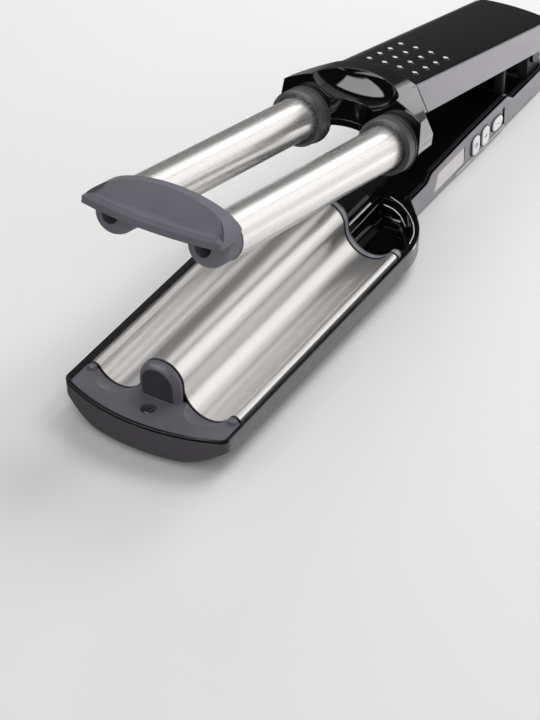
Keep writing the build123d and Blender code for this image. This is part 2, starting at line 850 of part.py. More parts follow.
clamp_top = ledge_height - heater_thickness
with BuildPart() as heater_clamps:
    with BuildSketch(Plane.XY.offset(clamp_top)):
        with Locations((heater_x, -barrel_y), (heater_x, barrel_y)):
            Rectangle(clamp_length, clamp_width)
    extrude(amount=-clamp_thickness)
    with BuildSketch(Plane.XY.offset(floor_thickness)):
        with Locations((heater_x, 0)):
            with GridLocations(clamp_leg_pitch, barrel_pitch, 2, 2):
                Rectangle(clamp_leg_thickness, clamp_width)
    extrude(amount=clamp_top - clamp_thickness - floor_thickness)
heater_clamps.part.label = "heater_clamps"
export_step(heater_clamps.part, "parts/heater_clamps.step")

probe_x = plate_rear_x - probe_setback
with BuildPart() as plate_sensor:
    with BuildSketch(Plane.XY.offset(ledge_height)):
        with Locations((probe_x, -barrel_y)):
            Circle(probe_radius)
    extrude(amount=-probe_height)
plate_sensor.part.label = "plate_sensor"
export_step(plate_sensor.part, "parts/plate_sensor.step")

with BuildPart() as thermal_fuse:
    with BuildSketch(Plane.XY.offset(ledge_height)):
        with Locations((probe_x, barrel_y)):
            Rectangle(fuse_length, fuse_width)
    extrude(amount=-probe_height)
    fillet(thermal_fuse.edges().filter_by(Axis.X), fuse_round)
thermal_fuse.part.label = "thermal_fuse"
export_step(thermal_fuse.part, "parts/thermal_fuse.step")

# --- Lower cover: gloss inner cover of the handle on four screw posts ----------------------------
with BuildPart() as cover_posts:
    with BuildSketch(Plane.XY.offset(floor_thickness)):
        with Locations(*cover_post_places):
            Circle(cover_post_radius)
    extrude(amount=2 * rim_height)
    with BuildSketch(Plane.XZ):
        add(profile_cover_middle)
    extrude(amount=jaw_width, both=True, mode=Mode.INTERSECT)

with BuildPart() as lower_cover:
    with BuildSketch(Plane.XZ):
        add(profile_cover_top)
        add(profile_cover_under, mode=Mode.SUBTRACT)
        split(bisect_by=Plane.YZ.offset(rear_guard_end_x + seat_gap), keep=Keep.TOP)
        split(bisect_by=Plane.YZ.offset(cover_rear_x), keep=Keep.BOTTOM)
    extrude(amount=cover_half, both=True)
    add(cover_posts.part)
    with BuildSketch(Plane.XY.offset(floor_thickness)):
        with Locations(*cover_post_places):
            Circle(screw_radius)
    extrude(amount=base_screw_length, mode=Mode.SUBTRACT)
    with BuildSketch(Plane.XY.offset(floor_thickness)):
        with Locations((post_x, post_y)):
            Circle(post_radius + seat_gap)
    extrude(amount=2 * rim_height, mode=Mode.SUBTRACT)
lower_cover.part.label = "lower_cover"
export_step(lower_cover.part, "parts/lower_cover.step")

# --- Base screws ---------------------------------------------------------------------------------
base_screws = Compound(
    children=[screw_upright(x, y, screw_sink, base_screw_length, False) for x, y in cover_post_places]
)
base_screws.label = "base_screws"
export_step(base_screws, "parts/base_screws.step")

# --- Post that stands between the arms ------------------------------------------------------------
with BuildPart() as stop_post:
    with BuildSketch(Plane.XY.offset(floor_thickness)):
        with Locations((post_x, post_y)):
            Circle(post_radius)
    extrude(amount=post_height - floor_thickness)
    fillet(stop_post.edges().sort_by(Axis.Z)[-1], post_round)
stop_post.part.label = "stop_post"
export_step(stop_post.part, "parts/stop_post.step")

# --- Display: smoked window and the module behind it ----------------------------------------------
with BuildPart() as display_window:
    with BuildSketch(Plane.XZ.offset(handle_half - window_recess)):
        add(window_outline)
        offset(amount=-window_clearance, mode=Mode.REPLACE)
    extrude(amount=-(wall - window_recess))
display_window.part.label = "display_window"
export_step(display_window.part, "parts/display_window.step")

with BuildPart() as lcd_module:
    with BuildSketch(Plane.XZ.offset(inner_wall_y)):
        with Locations((window_x, (window_top + window_bottom) / 2)):
            Rectangle(window_length + 2 * lcd_border, window_top - window_bottom + 2 * lcd_border)
    extrude(amount=-(inner_wall_y + board_y))
lcd_module.part.label = "lcd_module"
export_step(lcd_module.part, "parts/lcd_module.step")

# --- Buttons: each has a cap through the wall, a flange behind it and a stem to its switch ---------
button_middle_z = (button_top + button_bottom) / 2


def button_cap_sketch(x, growth):
    """Face of one of the two tall buttons, grown by growth all round."""
    with BuildSketch() as face:
        with Locations((x, button_middle_z)):
            height = button_top - button_bottom + 2 * growth
            RectangleRounded(button_width + 2 * growth, height, button_corner + growth)
    return face.sketch


def small_cap_sketch(x, growth):
    """Face of the small oval button, grown by growth all round."""
    with BuildSketch() as face:
        with Locations((x, small_button_z)):
            SlotOverall(small_button_length + 2 * growth, small_button_height + 2 * growth)
    return face.sketch


def button_part(make_face_at, x, z):
    """Push button at x and z, pressed towards +Y."""
    with BuildPart() as button:
        with BuildSketch(Plane.XZ.offset(handle_half + button_proud)):
            add(make_face_at(x, -button_gap))
        extrude(amount=-(wall + button_proud))
        fillet(button.faces().sort_by(Axis.Y)[0].edges(), button_edge_radius)
        with BuildSketch(Plane.XZ.offset(inner_wall_y)):
            add(make_face_at(x, button_flange_overlap))
        extrude(amount=-button_flange)
        with BuildSketch(Plane.XZ.offset(inner_wall_y - button_flange)):
            with Locations((x, z)):
                Circle(button_stem_radius)
        extrude(amount=-button_stem_length)
    return button.part


BUTTONS = (
    ("button_power", button_cap_sketch, button_xs[0], button_middle_z),
    ("button_mode", button_cap_sketch, button_xs[1], button_middle_z),
    ("button_set", small_cap_sketch, small_button_x, small_button_z),
)
for button_name, cap_sketch, button_x, button_z in BUTTONS:
    button = button_part(cap_sketch, button_x, button_z)
    button.label = button_name
    export_step(button, f"parts/{button_name}.step")

# --- Control board and its switches -----------------------------------------------------------------
with BuildPart() as control_board:
    with BuildSketch(Plane.XZ.offset(-board_y)):
        with Locations((board_x, (board_top + board_bottom) / 2)):
            Rectangle(board_length, board_top - board_bottom)
    extrude(amount=-board_thickness)
    with BuildSketch(Plane.XZ.offset(-board_y - board_thickness)):
        with Locations(*[(board_x + share * board_length, board_chip_z) for share in (-1 / 4, 1 / 6)]):
            Rectangle(board_chip_length, board_chip_width)
    extrude(amount=-board_chip_height)
control_board.part.label = "control_board"
export_step(control_board.part, "parts/control_board.step")

switch_height = inner_wall_y - button_flange - button_stem_length - button_travel + board_y
with BuildPart() as tact_switches:
    with BuildSketch(Plane.XZ.offset(-board_y)):
        with Locations(*[(x, z) for _, _, x, z in BUTTONS]):
            Rectangle(switch_width, switch_width)
    extrude(amount=switch_height - switch_button_height)
    with BuildSketch(Plane.XZ.offset(-board_y)):
        with Locations(*[(x, z) for _, _, x, z in BUTTONS]):
            Circle(button_stem_radius)
    extrude(amount=switch_height)
tact_switches.part.label = "tact_switches"
export_step(tact_switches.part, "parts/tact_switches.step")

# --- Terminal block -----------------------------------------------------------------------------------
with BuildPart() as terminal_block:
    with BuildSketch(Plane.XY.offset(floor_thickness)):
        with Locations((terminal_x, terminal_y)):
            Rectangle(terminal_length, terminal_width)
    extrude(amount=terminal_height)
    with BuildSketch(Plane.XY.offset(floor_thickness + terminal_height)):
        with GridLocations(terminal_length / 3, 1, 3, 1):
            with Locations((terminal_x, terminal_y)):
                Circle(screw_radius)
    extrude(amount=-terminal_height / 2, mode=Mode.SUBTRACT)
terminal_block.part.label = "terminal_block"
export_step(terminal_block.part, "parts/terminal_block.step")

# --- Cord gland: turns in the rear wall; the cord passes through its bore ---------------------------
with BuildPart() as cord_gland:
    with BuildSketch(Plane.YZ.offset(shell_rear_x + seat_gap)):
        with Locations((0, gland_height)):
            Circle(gland_radius)
    extrude(amount=gland_length - seat_gap)
    chamfer(cord_gland.edges().sort_by(Axis.X)[-1], gland_chamfer)
    with BuildSketch(Plane.YZ.offset(shell_rear_x + seat_gap)):
        with Locations((0, gland_height)):
            Circle(gland_neck_radius)
    extrude(amount=-(seat_gap + wall + seat_gap + gland_nut_thickness))
    with BuildSketch(Plane.YZ.offset(shell_rear_x - 2 * wall - gland_nut_thickness)):
        with Locations((0, gland_height)):
            Circle(gland_bore_radius)
    extrude(amount=2 * gland_length + 2 * wall, mode=Mode.SUBTRACT)
cord_gland.part.label = "cord_gland"
export_step(cord_gland.part, "parts/cord_gland.step")

with BuildPart() as gland_nut:
    with BuildSketch(Plane.YZ.offset(shell_rear_x - wall - seat_gap)):
        with Locations((0, gland_height)):
            Circle(gland_neck_radius + gland_nut_wall)
            Circle(gland_neck_radius, mode=Mode.SUBTRACT)
    extrude(amount=-gland_nut_thickness)
gland_nut.part.label = "gland_nut"
export_step(gland_nut.part, "parts/gland_nut.step")

# --- Hinge: bracket with two ears on the floor, pin and caps -----------------------------------------
with BuildPart() as hinge_bracket:
    for y in (ear_outer_y, -ear_inner_y):
        with BuildSketch(Plane.XZ.offset(-y)):
            with Locations((hinge_x, hinge_z)):
                Circle(knuckle_radius)
            with Locations((hinge_x, (hinge_z + floor_thickness) / 2)):
                Rectangle(2 * knuckle_radius, hinge_z - floor_thickness)
        extrude(amount=ear_thickness)
    with BuildSketch(Plane.XY.offset(floor_thickness)):
        with Locations((hinge_x, 0)):
            Rectangle(2 * knuckle_radius, 2 * ear_outer_y)
    extrude(amount=bracket_foot)
    with BuildSketch(Plane.XZ.offset(handle_width)):
        with Locations((hinge_x, hinge_z)):
            Circle(hinge_pin_radius)
    extrude(amount=-2 * handle_width, mode=Mode.SUBTRACT)
hinge_bracket.part.label = "hinge_bracket"
export_step(hinge_bracket.part, "parts/hinge_bracket.step")

pin_half = ear_outer_y + seat_gap
with BuildPart() as hinge_pin:
    with BuildSketch(Plane.XZ.offset(pin_half)):
        with Locations((hinge_x, hinge_z)):
            Circle(hinge_pin_radius)
    extrude(amount=-2 * pin_half)
hinge_pin.part.label = "hinge_pin"
export_step(hinge_pin.part, "parts/hinge_pin.step")

with BuildPart() as hinge_caps:
    for y in (-pin_half, pin_half + hinge_cap_thickness):
        with BuildSketch(Plane.XZ.offset(-y)):
            with Locations((hinge_x, hinge_z)):
                Circle(hinge_cap_radius)
        extrude(amount=hinge_cap_thickness)
    cap_rims = hinge_caps.edges().sort_by(Axis.Y)
    fillet([cap_rims[0], cap_rims[-1]], hinge_cap_round)
hinge_caps.part.label = "hinge_caps"
export_step(hinge_caps.part, "parts/hinge_caps.step")

# === Upper arm, drawn on its own planes ===============================================================

# --- Barrels -----------------------------------------------------------------------------------------
for side_name, side in SIDES:
    with BuildPart() as barrel:
        with BuildSketch(across(tip_u)):
            with Locations((side * barrel_y, 0)):
                Circle(barrel_radius)
                Circle(barrel_radius - barrel_wall, mode=Mode.SUBTRACT)
        extrude(amount=barrel_length + barrel_socket)
    barrel.part.label = f"barrel_{side_name}"
    export_step(barrel.part, f"parts/barrel_{side_name}.step")

# --- Collars: a ring round each barrel's root, recessed inside and grooved behind ---------------------
for side_name, side in SIDES:
    with BuildPart() as collar:
        with BuildSketch(beside(side * barrel_y)):
            with BuildLine():
                Polyline(
                    (collar_recess_depth, barrel_radius + seat_fit),
                    (collar_recess_depth, collar_recess_radius),
                    (0, collar_recess_radius),
                    (0, collar_radius - collar_edge),
                    (collar_edge, collar_radius),
                    (collar_groove_u, collar_radius),
                    (collar_groove_u, collar_radius - collar_groove_depth),
                    (collar_groove_u + collar_groove_width, collar_radius - collar_groove_depth),
                    (collar_groove_u + collar_groove_width, collar_radius),
                    (collar_length, collar_radius),
                    (collar_length, barrel_radius + seat_fit),
                    close=True,
                )
            make_face()
        revolve(axis=barrel_axis(side * barrel_y))
    collar.part.label = f"collar_{side_name}"
    export_step(collar.part, f"parts/collar_{side_name}.step")

# --- Barrel heaters: a flat bar between two half-round shoes, and a plug at the barrel's end ----------
shoe_radius = barrel_radius - barrel_wall - seat_fit
shoe_length = barrel_length - shoe_setback - shoe_rear_setback
for side_name, side in SIDES:
    with BuildPart() as shoes:
        with BuildSketch(across(tip_u + shoe_setback)):
            with Locations((side * barrel_y, 0)):
                Circle(shoe_radius)
                Rectangle(bar_width + 2 * seat_fit, bar_thickness + 2 * seat_fit, mode=Mode.SUBTRACT)
                Rectangle(2 * shoe_radius, shoe_split, mode=Mode.SUBTRACT)
        extrude(amount=shoe_length)
    shoes.part.label = f"heater_shoes_{side_name}"
    export_step(shoes.part, f"parts/heater_shoes_{side_name}.step")
    with BuildPart() as bar:
        with BuildSketch(across(tip_u + shoe_setback)):
            with Locations((side * barrel_y, 0)):
                Rectangle(bar_width, bar_thickness)
        extrude(amount=shoe_length)
    bar.part.label = f"barrel_heater_{side_name}"
    export_step(bar.part, f"parts/barrel_heater_{side_name}.step")
    with BuildPart() as end_insert:
        with BuildSketch(across(tip_u + spigot_length + seat_gap)):
            with Locations((side * barrel_y, 0)):
                Circle(shoe_radius)
                Circle(screw_radius, mode=Mode.SUBTRACT)
        extrude(amount=insert_length)
    end_insert.part.label = f"barrel_insert_{side_name}"
    export_step(end_insert.part, f"parts/barrel_insert_{side_name}.step")

# --- Tip cap: bowed wing with a finger scoop, on two round-nosed plugs --------------------------------
wing_front_u = plug_front_u - wing_front_reach
wing_rear_u = plug_front_u + wing_crest_setback
wing_half_width = barrel_y + wing_side_reach
wing_rear_half_width = barrel_y + wing_rear_reach
scoop_foot_u = wing_front_u + scoop_foot_setback
scoop_edge_u = wing_front_u + scoop_edge_setback
with BuildPart() as wing:
    with BuildSketch(level(wing_lip_bottom)) as wing_plan:
        with BuildLine():
            ThreePointArc(
                (wing_front_u + wing_bow, -wing_half_width),
                (wing_front_u, 0),
                (wing_front_u + wing_bow, wing_half_width),
            )
            Polyline(
                (wing_front_u + wing_bow, wing_half_width),
                (wing_rear_u, wing_rear_half_width),
                (wing_rear_u, -wing_rear_half_width),
                (wing_front_u + wing_bow, -wing_half_width),
            )
        make_face()
        fillet(wing_plan.vertices(), wing_corner_radius)
    extrude(amount=wing_crest_height)
    with BuildSketch(across(wing_front_u - scoop_overrun)):
        with Locations((0, wing_crest_height - wing_arch_height)):
            Ellipse(barrel_y + wing_arch_reach, wing_arch_height)
    extrude(amount=jaw_half, mode=Mode.INTERSECT)

with BuildPart() as scoop_tool:
    with BuildSketch(beside(0)) as scoop_side:
        with BuildLine():
            Polyline(
                (wing_front_u - scoop_overrun, scoop_floor_height),
                (scoop_foot_u, scoop_floor_height),
                (scoop_edge_u, wing_crest_height),
                (scoop_edge_u, wing_crest_height + cut_margin),
                (wing_front_u - scoop_overrun, wing_crest_height + cut_margin),
                close=True,
            )
        make_face()
        fillet(corners_at(scoop_side, scoop_foot_u), scoop_round_radius)
    extrude(amount=jaw_half, both=True)
    with BuildSketch(level(0)):
        with Locations((wing_front_u, 0)):
            Ellipse(scoop_plan_length, barrel_y + scoop_plan_reach)
    extrude(amount=2 * wing_crest_height, mode=Mode.INTERSECT)

recess_radius = cap_edge_radius + wing_recess_gap
recess_front = (cap_front_u - wing_recess_gap, cap_top_n - cap_edge_radius)
recess_top = (cap_front_u + cap_edge_radius, cap_top_n + wing_recess_gap)
with BuildPart() as tip_cap:
    add(wing.part)
    with BuildSketch(beside(0)):
        with BuildLine():
            RadiusArc(recess_front, recess_top, recess_radius)
            Polyline(recess_top, (tip_u, recess_top[1]), (tip_u, 0), (recess_front[0], 0), recess_front)
        make_face()
    extrude(amount=wing_recess_half_width, both=True, mode=Mode.SUBTRACT)
    for side_name, side in SIDES:
        with BuildSketch(beside(side * barrel_y)):
            with BuildLine():
                nose_line = Line((plug_front_u, 0), (plug_front_u, plug_radius - plug_nose_radius))
                RadiusArc(nose_line @ 1, (plug_front_u + plug_nose_radius, plug_radius), plug_nose_radius)
                Polyline(
                    (plug_front_u + plug_nose_radius, plug_radius),
                    (tip_u, plug_radius),
                    (tip_u, barrel_radius - barrel_wall - seat_fit),
                    (tip_u + spigot_length, barrel_radius - barrel_wall - seat_fit),
                    (tip_u + spigot_length, 0),
                    (plug_front_u, 0),
                )
            make_face()
        revolve(axis=barrel_axis(side * barrel_y))
    add(scoop_tool.part, mode=Mode.SUBTRACT)
    for side_name, side in SIDES:
        with BuildSketch(across(plug_front_u)):
            with Locations((side * barrel_y, 0)):
                Circle(plug_hole_radius)
        extrude(amount=plug_hole_depth, mode=Mode.SUBTRACT)
        with BuildSketch(across(plug_front_u)):
            with Locations((side * barrel_y, 0)):
                Circle(screw_radius + seat_fit)
        extrude(amount=plug_length + spigot_length, mode=Mode.SUBTRACT)
tip_cap.part.label = "tip_cap"
export_step(tip_cap.part, "parts/tip_cap.step")

# --- Tip screws ----------------------------------------------------------------------------------------
with BuildPart() as tip_screws:
    for side_name, side in SIDES:
        with BuildSketch(across(plug_front_u + plug_hole_depth)):
            with Locations((side * barrel_y, 0)):
                Circle(screw_head_radius)
        extrude(amount=-screw_head_height)
        with BuildSketch(across(plug_front_u + plug_hole_depth - screw_head_height)):
            with Locations((side * barrel_y, 0)):
                Rectangle(screw_slot_length, screw_slot_width)
                Rectangle(screw_slot_width, screw_slot_length)
        extrude(amount=screw_slot_depth, mode=Mode.SUBTRACT)
        with BuildSketch(across(plug_front_u + plug_hole_depth)):
            with Locations((side * barrel_y, 0)):
                Circle(screw_radius)
        extrude(amount=plug_length - plug_hole_depth + spigot_length + insert_length)
tip_screws.part.label = "tip_screws"
export_step(tip_screws.part, "parts/tip_screws.step")

# --- Head: bowed block that holds the barrels, split at a seam, with a thumb scoop in front -----------
head_front_u = collar_length
head_half_width = barrel_y + head_side_reach
head_room_half = barrel_y + head_room_reach
handle_top_at_front = upper_front_top + trim_top_rise
lean_way = arm_up - arm_dir * ((head_rear_low - head_rear_high) / (handle_top_at_front - upper_bottom_front))

with BuildSketch() as head_plan:
    with BuildLine():
        ThreePointArc(
            (head_rear_low, -handle_half),
            (head_rear_low + head_rear_bow, 0),
            (head_rear_low, handle_half),
        )
        Polyline(
            (head_rear_low, handle_half),
            (head_front_u + head_side_length, head_half_width - head_side_step),
            (head_front_u, head_half_width),
            (head_front_u - head_lean_length, head_half_width),
            (head_front_u - head_lean_length, -head_half_width),
            (head_front_u, -head_half_width),
            (head_front_u + head_side_length, -head_half_width + head_side_step),
            (head_rear_low, -handle_half),
        )
    make_face()

with BuildPart() as head_block:
    with BuildSketch(level(head_side_bottom)):
        add(head_plan.sketch)
    extrude(amount=upper_bottom_front - head_side_bottom)
    with BuildSketch(level(upper_bottom_front)):
        add(head_plan.sketch)
    extrude(amount=(head_crest_height - upper_bottom_front) * lean_way.length, dir=lean_way.normalized())
    with BuildSketch(across(head_front_u)):
        with Locations((0, head_crest_height - head_crown_radius)):
            Circle(head_crown_radius)
        with Locations((0, head_side_bottom - head_crown_radius)):
            Rectangle(4 * head_crown_radius, 2 * head_crown_radius, mode=Mode.SUBTRACT)
    extrude(amount=2 * head_rear_low, mode=Mode.INTERSECT)

# Round seats for the barrels, and the room and channel for their leads
with BuildPart() as head_hollow:
    for side_name, side in SIDES:
        with BuildSketch(across(head_front_u)):
            with Locations((side * barrel_y, 0)):
                Circle(barrel_radius + seat_fit)
        extrude(amount=barrel_socket - head_front_u)
        with BuildSketch(across(barrel_socket)):
            with Locations((side * barrel_y, 0)):
                Circle(lead_hole_radius)
        extrude(amount=head_room_rear_u - wall - barrel_socket)
    with BuildSketch(level(head_seam_height)):
        with Locations(((head_room_front_u + head_room_rear_u) / 2, 0)):
            Rectangle(head_room_rear_u - head_room_front_u, 2 * head_room_half)
        with Locations((head_room_rear_u + head_rear_low / 2, 0)):
            Rectangle(head_rear_low, 2 * head_channel_half)
    extrude(amount=head_room_top - head_seam_height)

with BuildPart() as thumb_scoop:
    with BuildSketch(level(thumb_scoop_n)):
        with Locations((head_front_u, 0)):
            Ellipse(thumb_scoop_radius, thumb_scoop_half_width)
            with Locations((-thumb_scoop_radius, 0)):
                Rectangle(2 * thumb_scoop_radius, 2 * thumb_scoop_half_width, mode=Mode.SUBTRACT)
    revolve(axis=Axis(arm_point(head_front_u, 0, thumb_scoop_n), (0, 1, 0)))

# Notch in the front face between the two collars
with BuildPart() as front_notch:
    with BuildSketch(level(head_side_bottom - cut_margin)):
        with Locations((head_front_u + notch_depth - notch_radius, 0)):
            Circle(notch_radius)
    extrude(amount=thumb_scoop_n - head_side_bottom + cut_margin)

with BuildPart() as hood_top:
    add(head_block.part)
    with BuildSketch(level(head_seam_height)):
        with Locations((head_front_u, 0)):
            Rectangle(4 * head_rear_low, 4 * head_half_width)
    extrude(amount=-head_half_width, mode=Mode.SUBTRACT)
    add(thumb_scoop.part, mode=Mode.SUBTRACT)
    add(front_notch.part, mode=Mode.SUBTRACT)
    add(head_hollow.part, mode=Mode.SUBTRACT)
    # Blind holes for the two screws from below
    with BuildSketch(level(head_seam_height)):
        with Locations(*[(head_screw_u, side * head_screw_y) for _, side in SIDES]):
            Circle(screw_radius)
    extrude(amount=head_screw_length, mode=Mode.SUBTRACT)
hood_top.part.label = "hood_top"
export_step(hood_top.part, "parts/hood_top.step")

with BuildPart() as hood_lower:
    with BuildSketch(level(head_side_bottom)):
        add(head_plan.sketch)
    extrude(amount=head_seam_height - head_side_bottom)
    for side_name, side in SIDES:
        with BuildSketch(beside(side * barrel_y)):
            with BuildLine():
                Polyline(
                    (head_front_u, 0),
                    (head_front_u, sleeve_radius),
                    (sleeve_end_u, sleeve_radius - sleeve_taper * (sleeve_end_u - head_front_u)),
                    (sleeve_end_u, 0),
                    close=True,
                )
            make_face()
        revolve(axis=barrel_axis(side * barrel_y))
    with BuildSketch(across(head_front_u)):
        with Locations((0, head_seam_height - head_half_width)):
            Rectangle(2 * head_half_width, 2 * head_half_width)
    extrude(amount=2 * head_rear_low, mode=Mode.INTERSECT)
    add(front_notch.part, mode=Mode.SUBTRACT)
    add(head_hollow.part, mode=Mode.SUBTRACT)
    with BuildSketch(level(head_side_bottom)):
        with Locations(*[(head_screw_u, side * head_screw_y) for _, side in SIDES]):
            Circle(screw_head_radius + seat_gap)
    extrude(amount=head_screw_sink, mode=Mode.SUBTRACT)
    with BuildSketch(level(head_side_bottom)):
        with Locations(*[(head_screw_u, side * head_screw_y) for _, side in SIDES]):
            Circle(screw_radius)
    extrude(amount=2 * wall, mode=Mode.SUBTRACT)
hood_lower.part.label = "hood_lower"
export_step(hood_lower.part, "parts/hood_lower.step")

with BuildPart() as hood_screws:
    with BuildSketch(level(head_side_bottom + head_screw_sink)):
        with Locations(*[(head_screw_u, side * head_screw_y) for _, side in SIDES]):
            Circle(screw_head_radius)
    extrude(amount=-screw_head_height)
    with BuildSketch(level(head_side_bottom + head_screw_sink - screw_head_height)):
        with Locations(*[(head_screw_u, side * head_screw_y) for _, side in SIDES]):
            Rectangle(screw_slot_length, screw_slot_width)
            Rectangle(screw_slot_width, screw_slot_length)
    extrude(amount=screw_slot_depth, mode=Mode.SUBTRACT)
    with BuildSketch(level(head_side_bottom + head_screw_sink)):
        with Locations(*[(head_screw_u, side * head_screw_y) for _, side in SIDES]):
            Circle(screw_radius)
    extrude(amount=head_screw_length)
hood_screws.part.label = "hood_screws"
export_step(hood_screws.part, "parts/hood_screws.step")

# --- Upper handle ---------------------------------------------------------------------------------------
upper_end_u = hinge_u + lobe_radius
upper_cover_rear_u = hinge_u - upper_cover_hinge_gap
post_slot_length = 2 * (post_radius + post_slot_gap) + post_slot_run
post_slot_u = post_x - root_closed_x - post_slot_shift
trim_inner_y = handle_half - trim_thickness
shell_half = trim_inner_y - seat_gap
crown_half = shell_half - facet_width
crown_rise = upper_crown - facet_rise
crown_radius = (crown_half**2 + crown_rise**2) / (2 * crown_rise)
base_fall = (upper_bottom_front - upper_bottom_rear) / (upper_end_u - upper_front_u)
top_fall = (upper_front_top - upper_rear_top) / (upper_end_u - upper_front_u)


def base_at(u):
    """Height of the upper handle's underside at u."""
    return upper_bottom_front - base_fall * (u - upper_front_u)


def top_at(u):
    """Height of the upper handle's top edges at u."""
    return upper_front_top - top_fall * (u - upper_front_u)


def upper_section(u, inset):
    """Section of the upper handle at u: upright sides, flat facets and a crown, drawn in by inset."""
    with BuildSketch(across(u)) as section:
        with BuildLine():
            ThreePointArc(
                (-crown_half, top_at(u) + facet_rise - inset),
                (0, top_at(u) + upper_crown - inset),
                (crown_half, top_at(u) + facet_rise - inset),
            )
            Polyline(
                (crown_half, top_at(u) + facet_rise - inset),
                (shell_half - inset, top_at(u) - inset),
                (shell_half - inset, base_at(u) + upper_cover_thickness + seat_fit),
                (-shell_half + inset, base_at(u) + upper_cover_thickness + seat_fit),
                (-shell_half + inset, top_at(u) - inset),
                (-crown_half, top_at(u) + facet_rise - inset),
            )
        make_face()
    return section.sketch


# Top surface points of the grip pips
pip_places = []
for row in range(pip_count):
    for column in range(pip_count):
        pip_u = pip_first_u + row * pip_pitch_along
        pip_y = (column - (pip_count - 1) / 2) * pip_pitch_across
        pip_n = top_at(pip_u) + upper_crown - crown_radius + sqrt(crown_radius**2 - pip_y**2)
        pip_places.append(arm_point(pip_u, pip_y, pip_n))
pip_sphere_radius = (pip_radius**2 + pip_height**2) / (2 * pip_height)

with BuildPart() as upper_hollow:
    for u in (upper_front_u, upper_end_u - upper_wall):
        add(upper_section(u, upper_wall))
    loft(ruled=True)
    with BuildSketch(level(0)):
        with Locations(((upper_front_u + upper_end_u - upper_wall) / 2, 0)):
            Rectangle(upper_end_u - upper_wall - upper_front_u, 2 * (shell_half - upper_wall))
    extrude(amount=upper_bottom_front + upper_cover_thickness + upper_wall)

with BuildPart() as upper_shell:
    for u in (upper_front_u, upper_end_u):
        add(upper_section(u, 0.0))
    loft(ruled=True)
    with Locations(*[place - arm_up * (pip_sphere_radius - pip_height) for place in pip_places]):
        Sphere(pip_sphere_radius, rotation=(90, 0, 0))
    add(upper_hollow.part, mode=Mode.SUBTRACT)
    add(head_block.part.moved(Location(arm_dir * joint_gap)), mode=Mode.SUBTRACT)
    # Room for the hinge ears and the lower handle's end
    with BuildSketch(beside(0)):
        with Locations((hinge_u, 0)):
            Circle(lobe_radius)
        with Locations((upper_cover_rear_u + hinge_setback, 0)):
            Rectangle(2 * hinge_setback, 2 * lobe_radius)
    extrude(amount=handle_half, both=True, mode=Mode.SUBTRACT)
upper_shell.part.label = "upper_shell"
export_step(upper_shell.part, "parts/upper_shell.step")

with BuildPart() as upper_cover:
    with BuildSketch(beside(0)):
        with BuildLine():
            Polyline(
                (upper_cover_front_u, base_at(upper_cover_front_u)),
                (upper_cover_rear_u, base_at(upper_cover_rear_u)),
                (upper_cover_rear_u, base_at(upper_cover_rear_u) + upper_cover_thickness),
                (upper_cover_front_u, base_at(upper_cover_front_u) + upper_cover_thickness),
                close=True,
            )
        make_face()
    extrude(amount=shell_half, both=True)
    add(head_block.part.moved(Location(arm_dir * joint_gap)), mode=Mode.SUBTRACT)
    with BuildSketch(level(0)):
        with Locations((post_slot_u, post_y)):
            Rectangle(post_slot_length, 2 * (post_radius + post_slot_gap))
    extrude(amount=upper_front_top, mode=Mode.SUBTRACT)
upper_cover.part.label = "upper_cover"
export_step(upper_cover.part, "parts/upper_cover.step")

with BuildSketch() as trim_side:
    with BuildLine():
        Polyline(
            (upper_front_u, base_at(upper_front_u)),
            (upper_front_u, handle_top_at_front),
            (upper_end_u - trim_rear_run, trim_rear_top),
            (upper_end_u, trim_rear_shoulder),
            (upper_end_u, base_at(upper_end_u)),
            close=True,
        )
    make_face()

for side_name, side in SIDES:
    with BuildPart() as upper_trim:
        with BuildSketch(beside(side * (trim_inner_y + trim_thickness / 2))):
            add(trim_side.sketch)
        extrude(amount=trim_thickness / 2, both=True)
        top_edges = upper_trim.edges().sort_by(Axis(arm_root, arm_up))[-2:]
        chamfer(top_edges.sort_by(Axis.Y)[-1 if side > 0 else 0], trim_bevel)
        add(head_block.part.moved(Location(arm_dir * joint_gap)), mode=Mode.SUBTRACT)
    upper_trim.part.label = f"upper_trim_{side_name}"
    export_step(upper_trim.part, f"parts/upper_trim_{side_name}.step")

# --- Hinge block: barrel round the pin, hung from the upper shell's top -------------------------------
with BuildPart() as hinge_block:
    with BuildSketch(beside(0)):
        with Locations((hinge_u, 0)):
            Circle(knuckle_radius)
        with Locations((hinge_u, (top_at(hinge_u) - upper_wall) / 2)):
            Rectangle(2 * hinge_web_half, top_at(hinge_u) - upper_wall)
        with Locations((hinge_u, 0)):
            Circle(hinge_pin_radius + hinge_clearance, mode=Mode.SUBTRACT)
    extrude(amount=ear_inner_y - knuckle_side_gap, both=True)
hinge_block.part.label = "hinge_block"
export_step(hinge_block.part, "parts/hinge_block.step")
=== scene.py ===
"""Hair waver: surfaces, finishes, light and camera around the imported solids.

The lower arm lies on the table with its wave plate upwards. The upper arm carries two round
barrels and stands open on its hinge. Sizes are in metres, apart from those that are said to be in mm.
"""

import json
import logging
from dataclasses import dataclass
from enum import Enum
from math import cos, degrees, pi, radians, sin
from typing import Iterable, Protocol, Sequence, Union

import bmesh
import bpy
import numpy as np
from mathutils import Matrix, Vector

